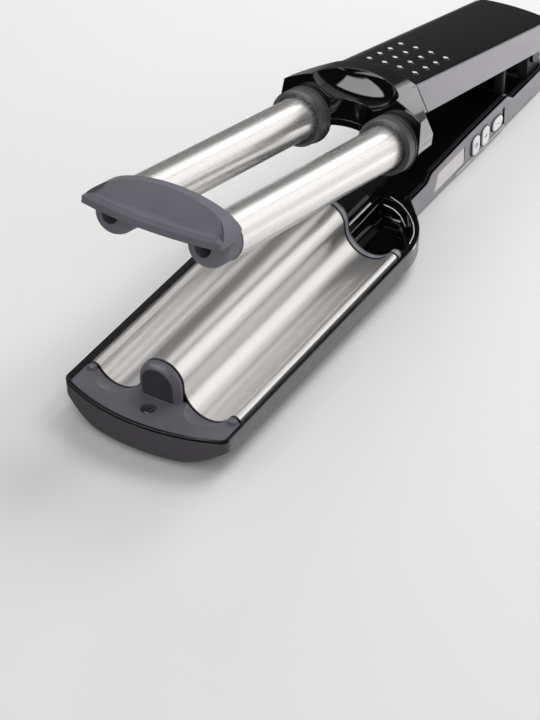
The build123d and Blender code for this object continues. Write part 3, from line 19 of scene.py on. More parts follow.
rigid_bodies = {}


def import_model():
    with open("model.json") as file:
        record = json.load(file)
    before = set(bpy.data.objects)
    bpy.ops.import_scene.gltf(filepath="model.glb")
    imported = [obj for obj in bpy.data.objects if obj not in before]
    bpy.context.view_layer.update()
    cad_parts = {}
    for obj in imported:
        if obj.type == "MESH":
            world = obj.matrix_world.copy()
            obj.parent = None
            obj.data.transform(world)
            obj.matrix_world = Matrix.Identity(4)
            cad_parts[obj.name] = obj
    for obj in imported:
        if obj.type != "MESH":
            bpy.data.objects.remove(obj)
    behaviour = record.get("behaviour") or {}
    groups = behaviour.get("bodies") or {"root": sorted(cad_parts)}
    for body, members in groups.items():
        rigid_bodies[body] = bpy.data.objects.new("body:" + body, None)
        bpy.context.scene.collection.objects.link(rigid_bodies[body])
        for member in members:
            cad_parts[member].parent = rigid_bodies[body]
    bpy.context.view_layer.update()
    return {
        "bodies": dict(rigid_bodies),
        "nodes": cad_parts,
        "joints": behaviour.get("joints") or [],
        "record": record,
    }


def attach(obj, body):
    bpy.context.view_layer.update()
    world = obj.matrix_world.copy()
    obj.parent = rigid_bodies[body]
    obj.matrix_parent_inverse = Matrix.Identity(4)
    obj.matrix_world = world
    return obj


LOG = logging.getLogger("waver")
MM = 0.001

Piece = bpy.types.Object
Socket = bpy.types.NodeSocket
Level = Union[Socket, float]
Colour = tuple[float, float, float]
Point = tuple[float, float, float]
Span = tuple[float, float]
Edge = tuple[float, tuple[Point, ...]]


class Body(Enum):
    """Rigid bodies of the tool."""

    LOWER = "lower_arm"
    UPPER = "upper_arm"
    POWER = "power_button"
    MODE = "mode_button"
    SET = "set_button"


# --- Arm directions ---------------------------------------


@dataclass(frozen=True)
class ArmFrame:
    """Directions of the open upper arm: u to the cord end, y to the right side, n upwards.

    Attributes:
        hinge_x: Hinge place along the tool, in mm.
        hinge_z: Hinge height, in mm.
        hinge_u: Distance from the barrel roots to the hinge, in mm.
        opening: Opening angle, in degrees.
    """

    hinge_x: float = 170.0
    hinge_z: float = 24.64
    hinge_u: float = 180.6
    opening: float = 14.17

    def along(self) -> np.ndarray:
        """Unit vector to the cord end."""
        return np.array([cos(radians(self.opening)), 0.0, -sin(radians(self.opening))])

    def upwards(self) -> np.ndarray:
        """Unit vector square to the arm, away from the lower arm."""
        return np.array([sin(radians(self.opening)), 0.0, cos(radians(self.opening))])

    def place(self, u: np.ndarray, y: np.ndarray, n: np.ndarray) -> np.ndarray:
        """Points of the part frame, in metres, from arm coordinates in mm.

        Args:
            u: Distances behind the barrel roots.
            y: Distances to the right side.
            n: Heights over the barrel axes.

        Returns:
            Array of shape (..., 3): root + u * along + y * side + n * upwards.
        """
        u, y, n = np.broadcast_arrays(np.asarray(u, float), np.asarray(y, float), np.asarray(n, float))
        root = np.array([self.hinge_x, 0.0, self.hinge_z]) - self.along() * self.hinge_u
        side = np.array([0.0, 1.0, 0.0])
        points = root + u[..., None] * self.along() + y[..., None] * side + n[..., None] * self.upwards()
        return points * MM


ARM = ArmFrame()


# --- Meshes -----------------------------------------------

# Steady direction that sets the roll of a bead's sections, along no bead of this tool
STEADY = (0.13, 0.31, 0.94)
WELD_DISTANCE = 1e-7


def mesh_piece(name: str, points: np.ndarray, faces: np.ndarray, smooth: bool = True) -> Piece:
    """Makes an object from corner points and four-sided faces.

    Args:
        name: Name of the piece.
        points: Array (..., 3) in metres.
        faces: Array (m, 4) of point numbers.
        smooth: Whether the faces are shaded smooth.

    Returns:
        The linked object, at the origin.
    """
    mesh = bpy.data.meshes.new(name)
    mesh.from_pydata(points.reshape(-1, 3).tolist(), [], faces.tolist())
    mesh.polygons.foreach_set("use_smooth", np.full(len(mesh.polygons), smooth))
    mesh.update()
    piece = bpy.data.objects.new(name, mesh)
    bpy.context.scene.collection.objects.link(piece)
    return piece


def grid_faces(rows: int, columns: int, wrap_rows: bool = False) -> np.ndarray:
    """Four-sided faces of a grid of points whose rows each close on themselves.

    Args:
        rows: Number of rows of points.
        columns: Number of points in a row.
        wrap_rows: Whether the last row joins the first.

    Returns:
        Array (m, 4) of point numbers: corner (a, b) with its next neighbours (c, b), (c, d), (a, d).
    """
    a, b = np.meshgrid(np.arange(rows if wrap_rows else rows - 1), np.arange(columns), indexing="ij")
    c, d = (a + 1) % rows, (b + 1) % columns
    return np.stack([a * columns + b, c * columns + b, c * columns + d, a * columns + d], -1).reshape(-1, 4)


def tube(name: str, path: np.ndarray, radius: float, sides: int = 8, closed: bool = False) -> Piece:
    """Round bead along a path with capped ends.

    Each section is a circle square to the path: point + r * (cos a * side + sin a * up), where side is
    the path's direction crossed with a steady vector. Shrunken end sections close the ends.

    Args:
        name: Name of the piece.
        path: Points (n, 3) in metres.
        radius: Bead radius, in metres.
        sides: Points around.
        closed: Whether the path joins its own start.

    Returns:
        The linked object.
    """
    if closed:
        ahead = np.roll(path, -1, 0) - np.roll(path, 1, 0)
        reach = np.full(len(path), radius)
    else:
        ahead = np.gradient(path, axis=0)
        path = np.concatenate([path[:1], path, path[-1:]])
        ahead = np.concatenate([ahead[:1], ahead, ahead[-1:]])
        reach = np.full(len(path), radius)
        reach[[0, -1]] = 0.0
    ahead /= np.linalg.norm(ahead, axis=1)[:, None]
    side = np.cross(ahead, np.array(STEADY))
    side /= np.linalg.norm(side, axis=1)[:, None]
    up = np.cross(side, ahead)
    turn = np.linspace(0.0, 2.0 * pi, sides, endpoint=False)
    ring = np.cos(turn)[None, :, None] * side[:, None, :] + np.sin(turn)[None, :, None] * up[:, None, :]
    points = path[:, None, :] + reach[:, None, None] * ring
    return weld(mesh_piece(name, points, grid_faces(len(path), sides, closed)))


def straight(start: Point, end: Point, count: int = 6) -> np.ndarray:
    """Even points (count, 3) in metres between two points in mm."""
    return np.linspace(start, end, count) * MM


def weld(piece: Piece) -> Piece:
    """Joins points that lie on each other and turns the faces outwards.

    Args:
        piece: Piece with an untransformed mesh.

    Returns:
        The same piece.
    """
    mesh = bmesh.new()
    mesh.from_mesh(piece.data)
    bmesh.ops.remove_doubles(mesh, verts=mesh.verts, dist=WELD_DISTANCE)
    bmesh.ops.recalc_face_normals(mesh, faces=mesh.faces)
    mesh.to_mesh(piece.data)
    mesh.free()
    return piece


def merge(name: str, pieces: Sequence[Piece]) -> Piece:
    """Joins pieces into one object and removes the originals.

    Args:
        name: Name of the joined piece.
        pieces: Pieces with untransformed meshes.

    Returns:
        The joined object.
    """
    mesh = bmesh.new()
    for piece in pieces:
        mesh.from_mesh(piece.data)
    data = bpy.data.meshes.new(name)
    mesh.to_mesh(data)
    mesh.free()
    for piece in pieces:
        bpy.data.objects.remove(piece)
    data.polygons.foreach_set("use_smooth", np.full(len(data.polygons), True))
    joined = bpy.data.objects.new(name, data)
    bpy.context.scene.collection.objects.link(joined)
    return joined


# --- Node trees -------------------------------------------

# Values between which nearly all of a noise lies
NOISE_SPAN = (0.3, 0.7)
# Half width of the soft border of a mask over a place
BORDER = 0.00005


class Nodes:
    """Small builder for a material's node tree.

    Attributes:
        material: The material.
        tree: Its node tree.
        shader: Its Principled shader.
        coords: Its texture coordinates.
    """

    def __init__(self, name: str) -> None:
        """Starts a material with a Principled shader.

        Args:
            name: Name of the material.
        """
        self.material = bpy.data.materials.new(name)
        self.material.use_nodes = True
        self.tree = self.material.node_tree
        self.shader = self.tree.nodes["Principled BSDF"]
        self.coords = self.tree.nodes.new("ShaderNodeTexCoord")

    def add(self, kind: str, **values: object) -> bpy.types.Node:
        """Adds a node and sets its properties and inputs by name.

        Args:
            kind: Blender's node type.
            **values: Properties, or inputs with blanks written as underscores.

        Returns:
            The new node.
        """
        node = self.tree.nodes.new(kind)
        for key, value in values.items():
            if hasattr(node, key):
                setattr(node, key, value)
            else:
                node.inputs[key.replace("_", " ")].default_value = value
        return node

    def feed(self, target: Socket, value: object) -> None:
        """Links a socket to an input, or sets the input to a constant.

        Args:
            target: The input.
            value: Socket or constant.
        """
        if isinstance(value, bpy.types.NodeSocket):
            self.tree.links.new(value, target)
        else:
            target.default_value = value

    def put(self, name: str, value: object) -> None:
        """Feeds an input of the shader by its name."""
        self.feed(self.shader.inputs[name], value)

    def mapped(self, scale: Sequence[float] = (1.0, 1.0, 1.0), tilt: float = 0.0) -> Socket:
        """Object coordinates, turned about the side axis and then stretched.

        Args:
            scale: Factors along the turned axes.
            tilt: Turn of the pattern, in degrees.

        Returns:
            Vector socket.
        """
        turned = self.add("ShaderNodeMapping", Rotation=(0.0, -radians(tilt), 0.0))
        self.feed(turned.inputs["Vector"], self.coords.outputs["Object"])
        scaled = self.add("ShaderNodeMapping", Scale=scale)
        self.feed(scaled.inputs["Vector"], turned.outputs["Vector"])
        return scaled.outputs["Vector"]

    def noise(self, vector: Socket, scale: float, detail: float = 3.0) -> Socket:
        """Noise value at a vector.

        Args:
            vector: Where the noise is read.
            scale: Noise scale, in waves per unit.
            detail: Number of finer layers.

        Returns:
            Value socket, 0 to 1.
        """
        node = self.add("ShaderNodeTexNoise", Scale=scale, Detail=detail, Roughness=0.55)
        self.feed(node.inputs["Vector"], vector)
        return node.outputs["Fac"]

    def spread(self, value: Socket, low: float, high: float, span: Span = NOISE_SPAN) -> Socket:
        """Maps a span of a value evenly to a range.

        Args:
            value: Value socket.
            low: Result at the span's start and below it.
            high: Result at the span's end and above it.
            span: Two values; they may fall.

        Returns:
            Value socket.
        """
        node = self.add("ShaderNodeMapRange", From_Min=span[0], From_Max=span[1], To_Min=low, To_Max=high)
        self.feed(node.inputs["Value"], value)
        return node.outputs["Result"]

    def ramp(self, value: Socket, low: Colour, high: Colour, span: Span = NOISE_SPAN) -> Socket:
        """Goes from one colour to another over a span of a value.

        Args:
            value: Value socket, 0 to 1.
            low: Colour at the span's start.
            high: Colour at the span's end.
            span: Two rising values.

        Returns:
            Colour socket.
        """
        node = self.add("ShaderNodeValToRGB")
        for element, place, colour in zip(node.color_ramp.elements, span, (low, high)):
            element.position = place
            element.color = (*colour, 1.0)
        self.feed(node.inputs["Fac"], value)
        return node.outputs["Color"]

    def math(self, operation: str, first: Level, second: Level = 0.0) -> Socket:
        """Adds a maths node on sockets or numbers.

        Args:
            operation: Blender's name of the operation.
            first: First operand.
            second: Second operand, where there is one.

        Returns:
            Value socket.
        """
        node = self.add("ShaderNodeMath", operation=operation)
        self.feed(node.inputs[0], first)
        self.feed(node.inputs[1], second)
        return node.outputs["Value"]

    def axis(self, field: str, axis: str) -> Socket:
        """Reads one axis of a vector of the surface.

        Args:
            field: Name of the vector, such as Object or Normal.
            axis: X, Y or Z.

        Returns:
            Value socket.
        """
        node = self.add("ShaderNodeSeparateXYZ")
        self.feed(node.inputs["Vector"], self.coords.outputs[field])
        return node.outputs[axis]

    def beyond(self, value: Socket, place: float, way: int, border: float = BORDER) -> Socket:
        """Mask that is 1 past a place.

        Args:
            value: Value socket.
            place: Value at the middle of the border.
            way: 1 if the mask is 1 above the place, -1 if it is 1 below.
            border: Half width of the border.

        Returns:
            Value socket, 0 to 1.
        """
        return self.spread(value, 0.0, 1.0, (place - way * border, place + way * border))

    def blend(self, mask: Socket, first: object, second: object) -> Socket:
        """Goes from the first value to the second by a mask.

        Args:
            mask: Value socket, 0 to 1.
            first: Socket, number, or four numbers for a colour.
            second: The same; one of the two is four numbers where colours are blended.

        Returns:
            Value or colour socket.
        """
        colours = any(isinstance(value, tuple) for value in (first, second))
        node = self.add("ShaderNodeMix", data_type="RGBA" if colours else "FLOAT")
        self.feed(node.inputs[0], mask)
        start, result = (6, 2) if colours else (2, 0)
        self.feed(node.inputs[start], first)
        self.feed(node.inputs[start + 1], second)
        return node.outputs[result]

    def relief(self, rounding: float, height: Socket, strength: float, depth: float) -> None:
        """Rounds edges in the shading and lays a fine relief over them.

        Args:
            rounding: Radius of the rounding, in metres.
            height: Value socket of the relief, 0 to 1.
            strength: Strength of the relief.
            depth: Height of the relief, in metres.
        """
        edges = self.add("ShaderNodeBevel", samples=6, Radius=rounding)
        bump = self.add("ShaderNodeBump", Strength=strength, Distance=depth)
        self.feed(bump.inputs["Height"], height)
        self.feed(bump.inputs["Normal"], edges.outputs["Normal"])
        self.put("Normal", bump.outputs["Normal"])


def shaded(colour: Colour, factor: float) -> Colour:
    """Colour times a factor, at most 1 in each part."""
    return tuple(min(1.0, part * factor) for part in colour)


# --- Finishes ---------------------------------------------

# Noise scales, in waves per metre
CLOUD_SCALE = 60.0
SMEAR_SCALE = 240.0
GRAIN_SCALE = 2600.0
PAINT_SMEAR_SCALE = 200.0
PAINT_GRAIN_SCALE = 2200.0
FLAKE_SCALE = 5200.0
# Waves per metre along and across the brushing
BRUSH_LINES = (25.0, 1400.0, 1400.0)
BRUSH_BANDS = (6.0, 90.0, 90.0)

# Least and greatest share of the middle roughness
ROUGH_SPAN = (0.85, 1.15)
BRUSHED_ROUGH_SPAN = (0.94, 1.08)

# Dark places, linear with alpha
FACE_DARK = (0.035, 0.036, 0.042, 1.0)
GROOVE_DARK = (0.006, 0.006, 0.007, 1.0)
# Painted shade: near black for the plate's front end, down in the shaded gap before the guard
GAP_SHADE = (0.004, 0.004, 0.004, 1.0)
TOP_GLOSS = (0.004, 0.004, 0.0045, 1.0)


class Finish(Protocol):
    """What builds a material."""

    def material(self) -> bpy.types.Material:
        """Builds the material."""


@dataclass(frozen=True)
class MouldedPlastic:
    """Fine-grained moulded plastic.

    Attributes:
        name: Material name.
        colour: Base colour, linear.
        roughness: Middle roughness.
        grain: Grain height, in metres.
        coat: Strength of a clear gloss layer.
        edge: Edge rounding in the shading, in metres.
        drift: How far the colour varies.
        sheen: Level of the plain surface reflection.
        face: Place along the tool and height, in metres; in front of and above them the colour is dark.
        ends: Two places along the tool, in metres; outside them the colour is dark.
    """

    name: str
    colour: Colour
    roughness: float = 0.45
    grain: float = 0.00002
    coat: float = 0.0
    edge: float = 0.0004
    drift: float = 0.08
    sheen: float = 0.5
    face: Span | None = None
    ends: Span | None = None

    def material(self) -> bpy.types.Material:
        """Builds the material: cloudy colour, grain noise in the relief, uneven roughness.

        Returns:
            The material.
        """
        nodes = Nodes(self.name)
        base = nodes.mapped()
        cloud = nodes.noise(base, CLOUD_SCALE, detail=2.0)
        low, high = (shaded(self.colour, 1.0 + way * self.drift) for way in (-1, 1))
        colour = nodes.ramp(cloud, low, high)
        if self.face:
            ahead = nodes.beyond(nodes.axis("Object", "X"), self.face[0], -1)
            above = nodes.beyond(nodes.axis("Object", "Z"), self.face[1], 1)
            colour = nodes.blend(nodes.math("MULTIPLY", ahead, above), colour, FACE_DARK)
        if self.ends:
            for place, way in zip(self.ends, (-1, 1)):
                past = nodes.beyond(nodes.axis("Object", "X"), place, way)
                colour = nodes.blend(past, colour, GROOVE_DARK)
        nodes.put("Base Color", colour)
        smear = nodes.noise(base, SMEAR_SCALE, detail=4.0)
        nodes.put("Roughness", nodes.spread(smear, *(self.roughness * share for share in ROUGH_SPAN)))
        nodes.put("Specular IOR Level", self.sheen)
        nodes.put("Coat Weight", self.coat)
        nodes.put("Coat Roughness", 0.04)
        grain = nodes.noise(base, GRAIN_SCALE, detail=2.0)
        nodes.relief(self.edge, grain, strength=0.35, depth=self.grain)
        return nodes.material


@dataclass(frozen=True)
class BrushedMetal:
    """Metal brushed along one direction.

    Attributes:
        name: Material name.
        colour: Base colour, linear.
        roughness: Middle roughness.
        tilt: Turn of the brushing about the side axis, in degrees.
        depth: Height of the brushing, in metres.
        edge: Edge rounding in the shading, in metres.
        purity: Metallic share; the rest is a pale satin coating.
        shadow_end: Place along the tool in front of which the metal is painted black as the shade of a gap,
            in metres.
    """

    name: str
    colour: Colour
    roughness: float = 0.3
    tilt: float = 0.0
    depth: float = 0.000006
    edge: float = 0.0003
    purity: float = 1.0
    shadow_end: float | None = None

    def material(self) -> bpy.types.Material:
        """Builds the material: noise drawn out along the brushing drives roughness and relief.

        Returns:
            The material.
        """
        nodes = Nodes(self.name)
        lines = nodes.noise(nodes.mapped(BRUSH_LINES, self.tilt), 1.0, detail=3.0)
        bands = nodes.noise(nodes.mapped(BRUSH_BANDS, self.tilt), 1.0, detail=2.0)
        colour = nodes.ramp(bands, shaded(self.colour, 0.97), self.colour)
        metal = self.purity
        if self.shadow_end is not None:
            # Painted shade: in front of the place the metal turns to a dark non-metal, as the gap there is
            # shaded
            gap = nodes.beyond(nodes.axis("Object", "X"), self.shadow_end, -1)
            colour = nodes.blend(gap, colour, GAP_SHADE)
            metal = nodes.blend(gap, metal, 0.0)
        nodes.put("Metallic", metal)
        nodes.put("Base Color", colour)
        low, high = (self.roughness * share for share in BRUSHED_ROUGH_SPAN)
        nodes.put("Roughness", nodes.spread(lines, low, high))
        nodes.relief(self.edge, lines, strength=0.4, depth=self.depth)
        return nodes.material


@dataclass(frozen=True)
class SilverPaint:
    """Silver paint with fine flakes, dark grey in front of a chosen place.

    Attributes:
        name: Material name.
        colour: Paint colour, linear.
        roughness: Middle roughness.
        dark: Colour in front of the border, linear.
        border: Border place along the tool, in metres; the default lies in front of everything.
        gloss_top: Distances from the middle between which upward faces behind the border are black gloss.
        purity: Metallic share of the paint.
    """

    name: str
    colour: Colour
    roughness: float = 0.35
    dark: Colour = (0.12, 0.113, 0.125)
    border: float = -9.0
    gloss_top: Span | None = None
    purity: float = 0.35

    def material(self) -> bpy.types.Material:
        """Builds the material: flake cells tint the paint and masks over places lay the other colours.

        Returns:
            The material.
        """
        nodes = Nodes(self.name)
        base = nodes.mapped()
        flakes = nodes.add("ShaderNodeTexVoronoi", Scale=FLAKE_SCALE)
        nodes.feed(flakes.inputs["Vector"], base)
        tint = nodes.ramp(flakes.outputs["Distance"], shaded(self.colour, 0.86), self.colour, (0.0, 0.7))
        behind = nodes.beyond(nodes.axis("Object", "X"), self.border, 1, border=0.0004)
        colour = nodes.blend(behind, (*self.dark, 1.0), tint)
        metal = self.purity
        smear = nodes.noise(base, PAINT_SMEAR_SCALE, detail=3.0)
        rough = nodes.spread(smear, *(self.roughness * share for share in ROUGH_SPAN))
        # Past the outer distance a thin silver strip stays on the top, a painted highlight of its outer
        # edge
        if self.gloss_top:
            upward = nodes.beyond(nodes.axis("Normal", "Z"), 0.6, 1, border=0.05)
            top = nodes.math("MULTIPLY", behind, upward)
            out = nodes.math("ABSOLUTE", nodes.axis("Object", "Y"))
            for place, way in zip(self.gloss_top, (1, -1)):
                top = nodes.math("MULTIPLY", top, nodes.beyond(out, place, way, border=0.00003))
            colour = nodes.blend(top, colour, TOP_GLOSS)
            metal = nodes.blend(top, metal, 0.0)
            rough = nodes.blend(top, rough, 0.08)
        nodes.put("Base Color", colour)
        nodes.put("Metallic", metal)
        nodes.put("Roughness", rough)
        grain = nodes.noise(base, PAINT_GRAIN_SCALE, detail=2.0)
        nodes.relief(0.0004, grain, strength=0.2, depth=0.00001)
        return nodes.material


class Look(Enum):
    """Finishes of the tool; most are named as the record's material slots are."""

    SHELL = "shell"
    RIM = "rim"
    PLATE = "plate"
    GUARD = "guard"
    STEEL = "steel"
    GLOSS_BLACK = "gloss_black"
    HEATER = "heater"
    CLAMP = "clamp"
    SENSOR = "sensor"
    POST = "post"
    WINDOW = "window"
    LCD = "lcd"
    BUTTON = "button"
    BOARD = "board"
    SWITCH = "switch"
    TERMINAL = "terminal"
    GLAND = "gland"
    BRACKET = "bracket"
    CAP = "cap"
    BARREL = "barrel"
    COLLAR = "collar"
    TIP = "tip"
    SILVER = "silver"
    INNER_BLACK = "inner_black"
    DARK_SCREW = "dark_screw"
    BAND = "band"
    LINE = "line"


# Black, ivory and grey mouldings
PLASTICS: dict[Look, Finish] = {
    Look.RIM: MouldedPlastic("gloss_rim", (0.006, 0.006, 0.007), 0.09, 0.000002, 0.4),
    Look.GUARD: MouldedPlastic("guard_grey", (0.13, 0.125, 0.145), 0.42, sheen=0.3, face=(-0.1685, 0.0174)),
    Look.GLOSS_BLACK: MouldedPlastic("gloss_black", (0.003, 0.003, 0.0034), 0.05, 0.000001, edge=0.0005),
    Look.HEATER: MouldedPlastic("heater_ceramic", (0.72, 0.70, 0.64), 0.55),
    Look.SENSOR: MouldedPlastic("sensor_ceramic", (0.62, 0.58, 0.50), 0.5),
    Look.POST: MouldedPlastic("post_black", (0.015, 0.015, 0.017), 0.4),
    Look.WINDOW: MouldedPlastic("window_smoke", (0.66, 0.63, 0.64), 0.12, 0.000002, 0.5),
    Look.LCD: MouldedPlastic("lcd_face", (0.24, 0.27, 0.23), 0.3),
    Look.BOARD: MouldedPlastic("board_green", (0.01, 0.06, 0.025), 0.35),
    Look.TERMINAL: MouldedPlastic("terminal_ivory", (0.62, 0.60, 0.50), 0.5),
    Look.GLAND: MouldedPlastic("gland_black", (0.014, 0.014, 0.016), 0.5),
    Look.BRACKET: MouldedPlastic("bracket_black", (0.02, 0.02, 0.022), 0.45),
    Look.COLLAR: MouldedPlastic("collar_grey", (0.06, 0.058, 0.064), 0.38, sheen=0.35),
    Look.TIP: MouldedPlastic("tip_grey", (0.145, 0.142, 0.165), 0.45, sheen=0.12),
    Look.DARK_SCREW: MouldedPlastic("dark_screw", (0.03, 0.03, 0.032), 0.25),
    # Painted reflection: the lilac strip at the plate's rear end stands for the black chamfer's reflection
    Look.BAND: MouldedPlastic("band_reflection_lilac", (0.34, 0.32, 0.37), 0.35, sheen=0.6, ends=(-0.0175, -0.0151)),
    Look.INNER_BLACK: MouldedPlastic("inner_black", (0.012, 0.012, 0.013), 0.35),
}

# The plate and the barrels share one satin metal
SATIN = (0.80, 0.785, 0.77)

METALS: dict[Look, Finish] = {
    Look.PLATE: BrushedMetal("satin_plate", SATIN, 0.31, depth=0.000001, purity=0.85, shadow_end=-0.1627),
    Look.BARREL: BrushedMetal("barrel_satin", SATIN, 0.27, ARM.opening, 0.000001, purity=0.85),
    Look.STEEL: BrushedMetal("screw_steel", (0.55, 0.55, 0.57), 0.3),
    Look.CLAMP: BrushedMetal("clamp_aluminium", (0.62, 0.63, 0.65), 0.38),
    Look.SWITCH: BrushedMetal("switch_steel", (0.45, 0.45, 0.46), 0.35),
    Look.CAP: BrushedMetal("cap_black", (0.02, 0.02, 0.022), 0.3),
    # Painted highlight: bright metal for beads that stand for glints and lit edges
    Look.LINE: BrushedMetal("painted_highlight_metal", (0.85, 0.84, 0.86), 0.3, purity=0.5),
}

PAINTS: dict[Look, Finish] = {
    # The black top stops short of the outer edge; the thin silver strip left there paints that edge's
    # highlight
    Look.SHELL: SilverPaint(
        "silver_shell", (0.24, 0.228, 0.255), 0.38, border=0.0285, gloss_top=(0.02055, 0.02219)
    ),
    Look.BUTTON: SilverPaint("button_silver", (0.80, 0.80, 0.82), 0.34),
    Look.SILVER: SilverPaint("silver_trim", (0.31, 0.295, 0.325), 0.34),
}

# Nodes whose look differs from the rest of their slot
OWN_LOOK = {
    "nose_screw": Look.DARK_SCREW,
    "plate_end_band": Look.BAND,
    "rear_guard_screws": Look.DARK_SCREW,
}


class Wardrobe:
    """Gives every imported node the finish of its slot, and every new piece its own.

    Attributes:
        made: Material of each look.
    """

    def __init__(self, frame: dict) -> None:
        self.frame = frame
        self.made = {look: finish.material() for look, finish in {**PLASTICS, **METALS, **PAINTS}.items()}

    def dress_nodes(self) -> None:
        """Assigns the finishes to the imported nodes."""
        for part in self.frame["record"]["subparts"]:
            node = self.frame["nodes"][part["node"]]
            look = OWN_LOOK.get(part["node"], Look(part["material_slot"]))
            node.data.materials.clear()
            node.data.materials.append(self.made[look])
            LOG.info("dressed %s in %s", part["node"], look.value)

    def dress(self, piece: Piece, look: Look, body: Body) -> Piece:
        """Gives a new piece its finish and its body.

        Args:
            piece: The new piece.
            look: Its finish.
            body: Body that carries it.

        Returns:
            The piece.
        """
        piece.data.materials.append(self.made[look])
        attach(piece, body.value)
        LOG.info("made %s", piece.name)
        return piece


# --- Upper arm pieces -------------------------------------


@dataclass(frozen=True)
class GripPips:
    """Bright metal tops on the grip pips of the upper handle, painted highlights of the gloss pips; sizes
    in mm.

    Attributes:
        first_u: First row's place along the arm.
        pitch_along: Row pitch.
        pitch_across: Pitch in a row.
        count: Rows, and pips in a row.
        radius: Radius of a polished top.
        ball: Radius of the ball that the pip is cut from.
        height: Pip height over the crown.
        root: Height over the ball's middle at which a top closes inside the pip.
        crown_start_u: Place where the handle's crown starts.
        crown_start_n: Height of the crown there.
        crown_fall: How far the crown falls for each mm behind its start.
        crown_bow: Radius of the crown across the handle.
    """

    first_u: float = 47.5
    pitch_along: float = 11.1
    pitch_across: float = 8.7
    count: int = 4
    # radius: Radius of a bright top.
    radius: float = 1.35
    ball: float = 2.9
    height: float = 0.83
    root: float = 2.2
    crown_start_u: float = 27.0
    crown_start_n: float = 23.7
    crown_fall: float = 4.0 / 161.8
    crown_bow: float = 171.625

    def crown(self, u: float, y: float) -> float:
        """Crown height: a falling line less the sag of a circle of radius R, R - sqrt(R^2 - y^2)."""
        sag = self.crown_bow - np.sqrt(self.crown_bow**2 - y**2)
        return self.crown_start_n - self.crown_fall * (u - self.crown_start_u) - sag

    def top(self, u: float, y: float) -> Piece:
        """Makes one top: a cap of a ball, n = middle + sqrt(ball^2 - r^2), closed below in one point.

        Args:
            u: Place along the arm.
            y: Place across the arm.

        Returns:
            The linked object.
        """
        sides = 16
        turn = np.linspace(0.0, 2.0 * pi, sides, endpoint=False)[None, :]
        reach = self.radius * np.linspace(0.0, 1.0, 7)[:, None]
        middle = self.crown(u, y) + self.height - self.ball
        rise = np.sqrt(self.ball**2 - reach**2)
        cap = ARM.place(u + reach * np.cos(turn), y + reach * np.sin(turn), middle + rise)
        close = ARM.place(np.full((1, sides), u), y, middle + self.root)
        rows = np.concatenate([cap, close])
        return weld(mesh_piece("pip", rows, grid_faces(len(rows), sides)))

    def build(self, wardrobe: Wardrobe) -> None:
        """Makes the bright tops of all the pips, their painted highlights, and dresses them.

        Args:
            wardrobe: Dresses the pieces.
        """
        middle = (self.count - 1) / 2
        places = [
            (self.first_u + row * self.pitch_along, (column - middle) * self.pitch_across)
            for row in range(self.count)
            for column in range(self.count)
        ]
        tops = [self.top(u, y) for u, y in places]
        # Painted highlight: bright metal caps stand for the glints on the black gloss pips
        wardrobe.dress(merge("pip_highlights", tops), Look.LINE, Body.UPPER)


@dataclass(frozen=True)
class LipRidges:
    """Fine ridges across the front lip of the tip piece; sizes in mm.

    Attributes:
        front_u: Front end of the lip at the middle.
        bow: How far the front bows back at the sides.
        half: Half width of the tip piece.
        top_n: Height of the ridges' middle lines, 0.05 under the lip's top face.
        count: Number of ridges.
        first: Distance of the first ridge behind the front.
        pitch: Distance between ridges.
        radius: Ridge radius.
        end_gap: Distance of the first ridge's ends from the sides.
        end_step: How much shorter each next ridge is at each end.
    """

    front_u: float = -173.7
    bow: float = 4.6
    half: float = 36.7
    top_n: float = 7.85
    count: int = 5
    first: float = 0.9
    pitch: float = 0.95
    radius: float = 0.3
    end_gap: float = 2.5
    end_step: float = 0.4

    def build(self, wardrobe: Wardrobe) -> None:
        """Lays ridges that follow the bowed front: u = front + first + bow * (y / half)^2 + k * pitch.

        Args:
            wardrobe: Dresses the pieces.
        """
        ridges = []
        for k in range(self.count):
            end = self.half - self.end_gap - self.end_step * k
            y = np.linspace(-end, end, 60)
            u = self.front_u + self.first + self.bow * (y / self.half) ** 2 + k * self.pitch
            ridges.append(tube("ridge", ARM.place(u, y, self.top_n), self.radius * MM, 6))
        wardrobe.dress(merge("lip_ridges", ridges), Look.TIP, Body.UPPER)


# --- Lower arm pieces -------------------------------------


@dataclass(frozen=True)
class Button:
    """Place and outline of a button in the left wall; sizes in mm.

    Attributes:
        x: Middle along the tool.
        z: Middle height.
        wide: Half width.
        high: Half height.
        corner: Corner radius.
    """

    x: float
    z: float
    wide: float
    high: float
    corner: float


